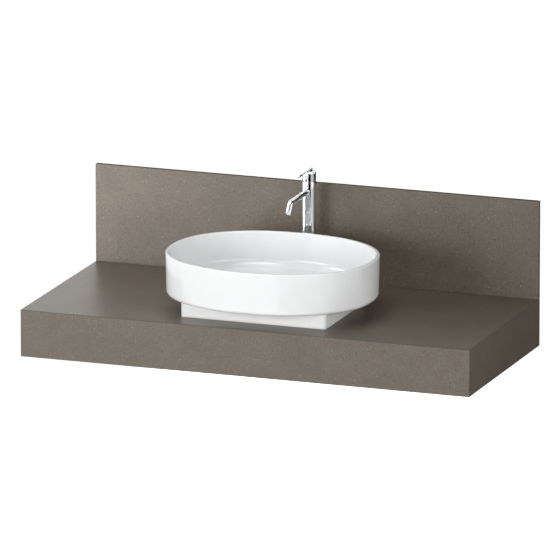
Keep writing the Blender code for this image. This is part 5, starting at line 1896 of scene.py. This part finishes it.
bead = add(
    weld_bead,
    "GeometryNodeCurveToMesh",
    {
        "Curve": fine,
        "Profile Curve": section_circle.outputs["Curve"],
        "Scale": lap,
        "Fill Caps": True,
    },
)
close_rule(weld_bead, bead, powder_coat)

joints, edges = [], []
for bracket in ("left_bracket", "right_bracket"):
    low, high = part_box(bracket)
    under_arm, before_leg = high.z - BAR_THICKNESS, high.y - BAR_THICKNESS
    for x in (middle(bracket).x - WEB_HALF, middle(bracket).x + WEB_HALF):
        first = len(joints)
        joints += [
            (x, low.y + WELD_TIP, under_arm),
            (x, before_leg - WELD_CORNER, under_arm),
            (x, before_leg, under_arm - WELD_CORNER),
            (x, before_leg, low.z + WELD_HEEL),
        ]
        edges += [(number, number + 1) for number in range(first, first + 3)]
joint_mesh = bpy.data.meshes.new("weld_joints")
joint_mesh.from_pydata(joints, edges, [])
beads = grow(
    "weld_beads",
    weld_bead,
    joint_mesh,
    Bead_Radius=BEAD_RADIUS,
    Pool_Length=POOL_LENGTH,
    Swell=POOL_SWELL,
)
settle(beads, "console", "coated_steel")

# %% [markdown]
# ## Silicone bead
#
# The plinth stands in a thin bead of silicone. Where it squeezed out, a finger has drawn it
# slightly hollow.

# %% Silicone bead
SEAL_LOW, SEAL_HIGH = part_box("basin_seal")
SEAL_WIDTH = 0.009
SEAL_HOLLOW = 0.0003
seal_middle = (SEAL_LOW.z + SEAL_HIGH.z) / 2 - COUNTER_TOP
seal_outline = [
    (foot_inset, SEAL_HIGH.z - COUNTER_TOP),
    (foot_inset + SEAL_HOLLOW, seal_middle),
    (foot_inset, SEAL_LOW.z - COUNTER_TOP),
    (foot_inset + SEAL_WIDTH, SEAL_LOW.z - COUNTER_TOP),
    (foot_inset + SEAL_WIDTH, SEAL_HIGH.z - COUNTER_TOP),
]
seal_rings = rectangle_rings(seal_outline)
seal_piece = shaped("tooled_bead", skinned(seal_rings, True), milky_silicone, basin_place)
settle(seal_piece, "console", "silicone", "basin_seal")

# %% [markdown]
# ## Camera
#
# The photograph was taken from the right and a little above, with a very long lens: lines that
# are parallel on the object stay parallel. The camera stands far away and looks at the
# object's middle.

# %% Camera
CAMERA_AZIMUTH = math.radians(19.862)
CAMERA_ELEVATION = math.radians(14.191)
CAMERA_DISTANCE = 29.117
CAMERA_AIM = Vector((-0.0001, 0, 0.1864))
SIGHT_END = 200.0
# Lens and sensor alone are in millimetres, as they are sold
LENS_LENGTH = 739.6
SENSOR_WIDTH = 36.0

lens = bpy.data.cameras.new("portrait_lens")
lens.lens = LENS_LENGTH
lens.sensor_width = SENSOR_WIDTH
lens.clip_end = SIGHT_END
camera = bpy.data.objects.new("portrait_camera", lens)
bpy.context.scene.collection.objects.link(camera)
away = Vector(
    (
        math.sin(CAMERA_AZIMUTH) * math.cos(CAMERA_ELEVATION),
        -math.cos(CAMERA_AZIMUTH) * math.cos(CAMERA_ELEVATION),
        math.sin(CAMERA_ELEVATION),
    )
)
camera.location = CAMERA_AIM + away * CAMERA_DISTANCE
camera.rotation_euler = (-away).to_track_quat("-Z", "Y").to_euler()
bpy.context.scene.camera = camera
print("camera at", [round(part, 3) for part in camera.location])

# %% [markdown]
# ## Studio
#
# The console hangs on a wall at the height of a real one, so the floor is well below it. Floor
# and world are white wherever the eye, a mirror or glass sees them, while the light that they
# throw on the object is a soft grey. Near the object, the floor shines less and leaves a share
# to the lamps, so that it keeps a soft shadow. Seen from below, the floor is clear.

# %% Floor and world
FLOOR_LEVEL = -0.85
FLOOR_REACH = 60.0
SOFT_LIGHT = 0.03
SHADOW_REACH = 1.15
NEAR_GLOW = 0.55


def seen_or_mirrored(tree):
    """One where the eye, a mirror or glass looks, and zero for scattered light."""
    rays = add(tree, "ShaderNodeLightPath")
    either = add(
        tree,
        "ShaderNodeMath",
        {0: rays.outputs["Is Camera Ray"], 1: rays.outputs["Is Glossy Ray"]},
        operation="MAXIMUM",
    )
    return add(
        tree,
        "ShaderNodeMath",
        {0: either, 1: rays.outputs["Is Transmission Ray"]},
        operation="MAXIMUM",
    )


floor_paint = bpy.data.materials.new("studio_floor")
floor_paint.use_nodes = True
tree = floor_paint.node_tree
tree.nodes.clear()
places = add(tree, "ShaderNodeTexCoord")
flat = add(
    tree,
    "ShaderNodeVectorMath",
    {0: places.outputs["Object"], 1: (1.0, 1.0, 0.0)},
    operation="MULTIPLY",
)
distance = add(tree, "ShaderNodeVectorMath", {0: flat}, operation="LENGTH")
far = add(
    tree,
    "ShaderNodeMapRange",
    {
        "Value": distance.outputs["Value"],
        "From Min": SHADOW_REACH / 2,
        "From Max": SHADOW_REACH,
        "To Min": NEAR_GLOW,
        "To Max": 1.0,
    },
)
strength = add(tree, "ShaderNodeMath", {0: far, 1: seen_or_mirrored(tree)}, operation="MULTIPLY")
glow = add(tree, "ShaderNodeEmission", {"Color": linear("FFFFFF"), "Strength": strength})
paint = add(tree, "ShaderNodeBsdfDiffuse", {"Color": linear("E6E6E6")})
both = add(tree, "ShaderNodeAddShader", {0: glow, 1: paint})
clear = add(tree, "ShaderNodeBsdfTransparent")
side = add(tree, "ShaderNodeNewGeometry")
shown = add(tree, "ShaderNodeMixShader", {"Fac": side.outputs["Backfacing"], 1: both, 2: clear})
add(tree, "ShaderNodeOutputMaterial", {"Surface": shown})

shape = bmesh.new()
bmesh.ops.create_grid(shape, x_segments=1, y_segments=1, size=FLOOR_REACH)
floor = shaped("studio_floor", shape, floor_paint, at(0, 0, FLOOR_LEVEL))
if floor.data.polygons[0].normal.z < 0:
    floor.data.flip_normals()
floor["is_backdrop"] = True

world = bpy.data.worlds.new("studio_world")
bpy.context.scene.world = world
world.use_nodes = True
tree = world.node_tree
tree.nodes.clear()
level = add(
    tree,
    "ShaderNodeMapRange",
    {"Value": seen_or_mirrored(tree), "To Min": SOFT_LIGHT, "To Max": 1.0},
)
sky = add(tree, "ShaderNodeBackground", {"Color": linear("FFFFFF"), "Strength": level})
add(tree, "ShaderNodeOutputWorld", {"Surface": sky})
print("floor", -FLOOR_LEVEL, "m below the console's foot, soft light", SOFT_LIGHT)

# %% [markdown]
# A mirror shows whatever stands around it, and in an all-white studio chrome would look like
# chalk. Photographers stand black cards around it, which draw dark lines along each round
# piece and so show that it is round. These cards are seen by mirrors only: they cast no shadow
# and take no light from the rest. They are painted on the side that faces the tap and clear on
# the other, so the small ones near the tap don't show in the stone behind them.

# %% Card paint
card_paints = {}
for tone, code in (("black", "000000"), ("grey", "D8DCDC")):
    card_paints[tone] = bpy.data.materials.new(tone + "_card")
    card_paints[tone].use_nodes = True
    tree = card_paints[tone].node_tree
    tree.nodes.clear()
    plain = add(tree, "ShaderNodeEmission", {"Color": linear(code)})
    clear = add(tree, "ShaderNodeBsdfTransparent")
    side = add(tree, "ShaderNodeNewGeometry")
    faces = {"Fac": side.outputs["Backfacing"], 1: plain, 2: clear}
    shown = add(tree, "ShaderNodeMixShader", faces)
    add(tree, "ShaderNodeOutputMaterial", {"Surface": shown})
print("card paints:", ", ".join(card_paints))

# %% Card helpers
TAP = Vector((TAP_MIDDLE.x, TAP_MIDDLE.y, SPOUT_LEVEL))


def heading(azimuth, elevation=0.0):
    """The direction at an azimuth (front is 0, right is 90) and an elevation, in degrees."""
    turn, lift = math.radians(azimuth), math.radians(elevation)
    level = math.cos(lift)
    return Vector((math.sin(turn) * level, -math.cos(turn) * level, math.sin(lift)))


def hang(name, columns, tone="black"):
    """A card through columns of points, with its painted side towards the tap."""
    shape = bmesh.new()
    made = [[shape.verts.new(point) for point in column] for column in columns]
    for first, second in zip(made, made[1:]):
        for row in range(len(first) - 1):
            shape.faces.new((first[row], first[row + 1], second[row + 1], second[row]))
    card = shaped(name, shape, card_paints[tone])
    if sum((TAP - face.center).dot(face.normal) for face in card.data.polygons) < 0:
        card.data.flip_normals()
    card.visible_camera = card.visible_diffuse = card.visible_shadow = False
    card.visible_transmission = False
    card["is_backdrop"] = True


def up(point, *levels):
    """The places above or below a point at some levels."""
    return [Vector((point.x, point.y, level)) for level in levels]


print("cards face the tap at", [round(part, 3) for part in TAP])

# %% [markdown]
# Three large cards lie on the floor round the object and turn up at their far edge. The one at
# the right is pale grey, because the chrome stays light on that side. An arch of black hangs
# over the tap, for the upper sides of its spout and its lever.

# %% Large cards
CARD_LEVEL = FLOOR_LEVEL + 0.01
CARD_ROWS = 16
# Name, tone, first and last azimuth, near and far edge, and the height of the far edge
FLOOR_CARDS = (
    ("card_in_front", "black", 8, 44, 2.6, 3.2, 0.12),
    ("card_at_right", "grey", 44, 116, 0.9, 3.2, 0.10),
    ("card_behind", "black", 116, 176, 0.9, 3.2, -0.10),
)
for name, tone, first, last, near, far, top in FLOOR_CARDS:
    columns = []
    for step in range(CARD_ROWS + 1):
        out = heading(first + (last - first) * step / CARD_ROWS)
        columns.append(up(out * near, CARD_LEVEL) + up(out * far, CARD_LEVEL, top))
    hang(name, columns, tone)

ARCH_REACH = 2.4
# Azimuth, and the elevations of the lower and the upper edge
ARCH = (
    (150, 4, 30),
    (142, 4, 46),
    (130, 9, 55),
    (118, 16, 60),
    (106, 24, 63),
    (94, 31, 65),
    (84, 36, 66),
    (74, 38, 66),
    (64, 40, 65),
    (50, 42, 63),
    (36, 42, 59),
    (22, 43, 55),
    (10, 45, 51),
)
columns = []
for turn, low, high in ARCH:
    columns.append([TAP + heading(turn, edge) * ARCH_REACH for edge in (low, high)])
hang("card_above", columns)
print("large cards:", len(FLOOR_CARDS) + 1)

# %% [markdown]
# Three small black cards stand close by. One stands beside the tap at the height of the seam,
# one in front of the back panel's upper edge and one behind it.

# %% Small cards
SEAM_CARD_REACH = 0.09
SEAM_CARD_TURNS = range(9, 46, 4)
SEAM_CARD_LOW = SPOUT_LEVEL - 0.023
SEAM_CARD_HIGH = SEAM + 0.017
tap_foot = Vector((TAP.x, TAP.y, 0))
beside = [tap_foot + heading(turn) * SEAM_CARD_REACH for turn in SEAM_CARD_TURNS]
hang("card_by_tap", [up(point, SEAM_CARD_LOW, SEAM_CARD_HIGH) for point in beside])

PANEL_LOW, PANEL_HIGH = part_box("splashback")
PANEL_CARD_GAP = 0.005
FRONT_CARD_RISE = 0.046
BACK_CARD_RISE = 0.014
BACK_CARD_PAST = 0.02
# Where the front card stands along the panel, and its lower edge from the panel's upper edge
FRONT_CARD = ((-0.03, -0.007), (0.026, -0.007), (0.03, 0.0015), (0.085, 0.0015))
columns = []
for x, foot in FRONT_CARD:
    stand = Vector((x, PANEL_LOW.y - PANEL_CARD_GAP, 0))
    columns.append(up(stand, PANEL_HIGH.z + foot, PANEL_HIGH.z + FRONT_CARD_RISE))
hang("card_before_edge", columns)

columns = []
for x in (PANEL_LOW.x - BACK_CARD_PAST, PANEL_HIGH.x + BACK_CARD_PAST):
    stand = Vector((x, PANEL_HIGH.y + PANEL_CARD_GAP, 0))
    columns.append(up(stand, PANEL_HIGH.z, PANEL_HIGH.z + BACK_CARD_RISE))
hang("card_behind_edge", columns)
print("small cards stand by the tap and at the back panel's edge")

# %% [markdown]
# One large soft lamp stands in front and to the left, low enough to light the fronts and the
# back panel. The others are weaker and fill from the right, from behind and from above. All
# of them look at the object's middle, so each is written as an azimuth, an elevation and a
# distance from there, a size, and a power in watts.
#
# Two small lamps have a grid, which keeps their light in a narrow cone: one looks down into
# the bowl, one washes the left of the back panel. They have a place, a point to look at and
# a spread of their own.

# %% Lamps
SOFT_SPREAD = 180
SOFT_LAMPS = (
    ("key", -30, 8, 3.2, 1.4, 61.5),
    ("right_front", 35, 8, 3.2, 1.4, 33.5),
    ("right_side", 90, 8, 3.2, 1.4, 3.3),
    ("right_rear", 120, 8, 3.2, 1.4, 7.9),
    ("right_near", 60, 15, 1.6, 0.6, 4.4),
    ("rear", 205, -5, 3.2, 1.4, 22.0),
    ("left_near", -80, 45, 1.4, 0.6, 5.2),
)
BOWL = Vector((0.0, -0.05, 0.10))
PANEL_LEFT = Vector((-0.50, 0.267, 0.28))

lamps = []
for name, azimuth, elevation, reach, size, power in SOFT_LAMPS:
    place = CAMERA_AIM + heading(azimuth, elevation) * reach
    lamps.append((name, place, CAMERA_AIM, size, power, SOFT_SPREAD))
lamps += [
    ("bowl_grid", Vector((0.0, -0.25, 1.30)), BOWL, 0.5, 0.88, 70),
    ("panel_grid", Vector((-1.15, -0.10, 0.25)), PANEL_LEFT, 0.5, 1.1, 60),
]
for name, place, aim, size, power, spread in lamps:
    light = bpy.data.lights.new(name + "_lamp", "AREA")
    light.shape = "SQUARE"
    light.size = size
    light.energy = power
    light.spread = math.radians(spread)
    lamp = bpy.data.objects.new(name + "_lamp", light)
    bpy.context.scene.collection.objects.link(lamp)
    lamp.location = place
    lamp.rotation_euler = (place - aim).to_track_quat("Z", "Y").to_euler()
    print(lamp.name, "at", [round(part, 2) for part in lamp.location], "m")

# %% [markdown]
# ## Colours as written
#
# The Standard view shows a colour as it is written, without a film-like curve.
#
# Both boxes, the CAD model's and the dressed model's, are printed for a last look at their sizes.

# %% View and size
bpy.context.scene.view_settings.view_transform = "Standard"

boxes = {"cad": cad_box, "visual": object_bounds()}
for name, (low, high) in boxes.items():
    print(name, [round(part * 1000, 1) for part in high - low], "mm")
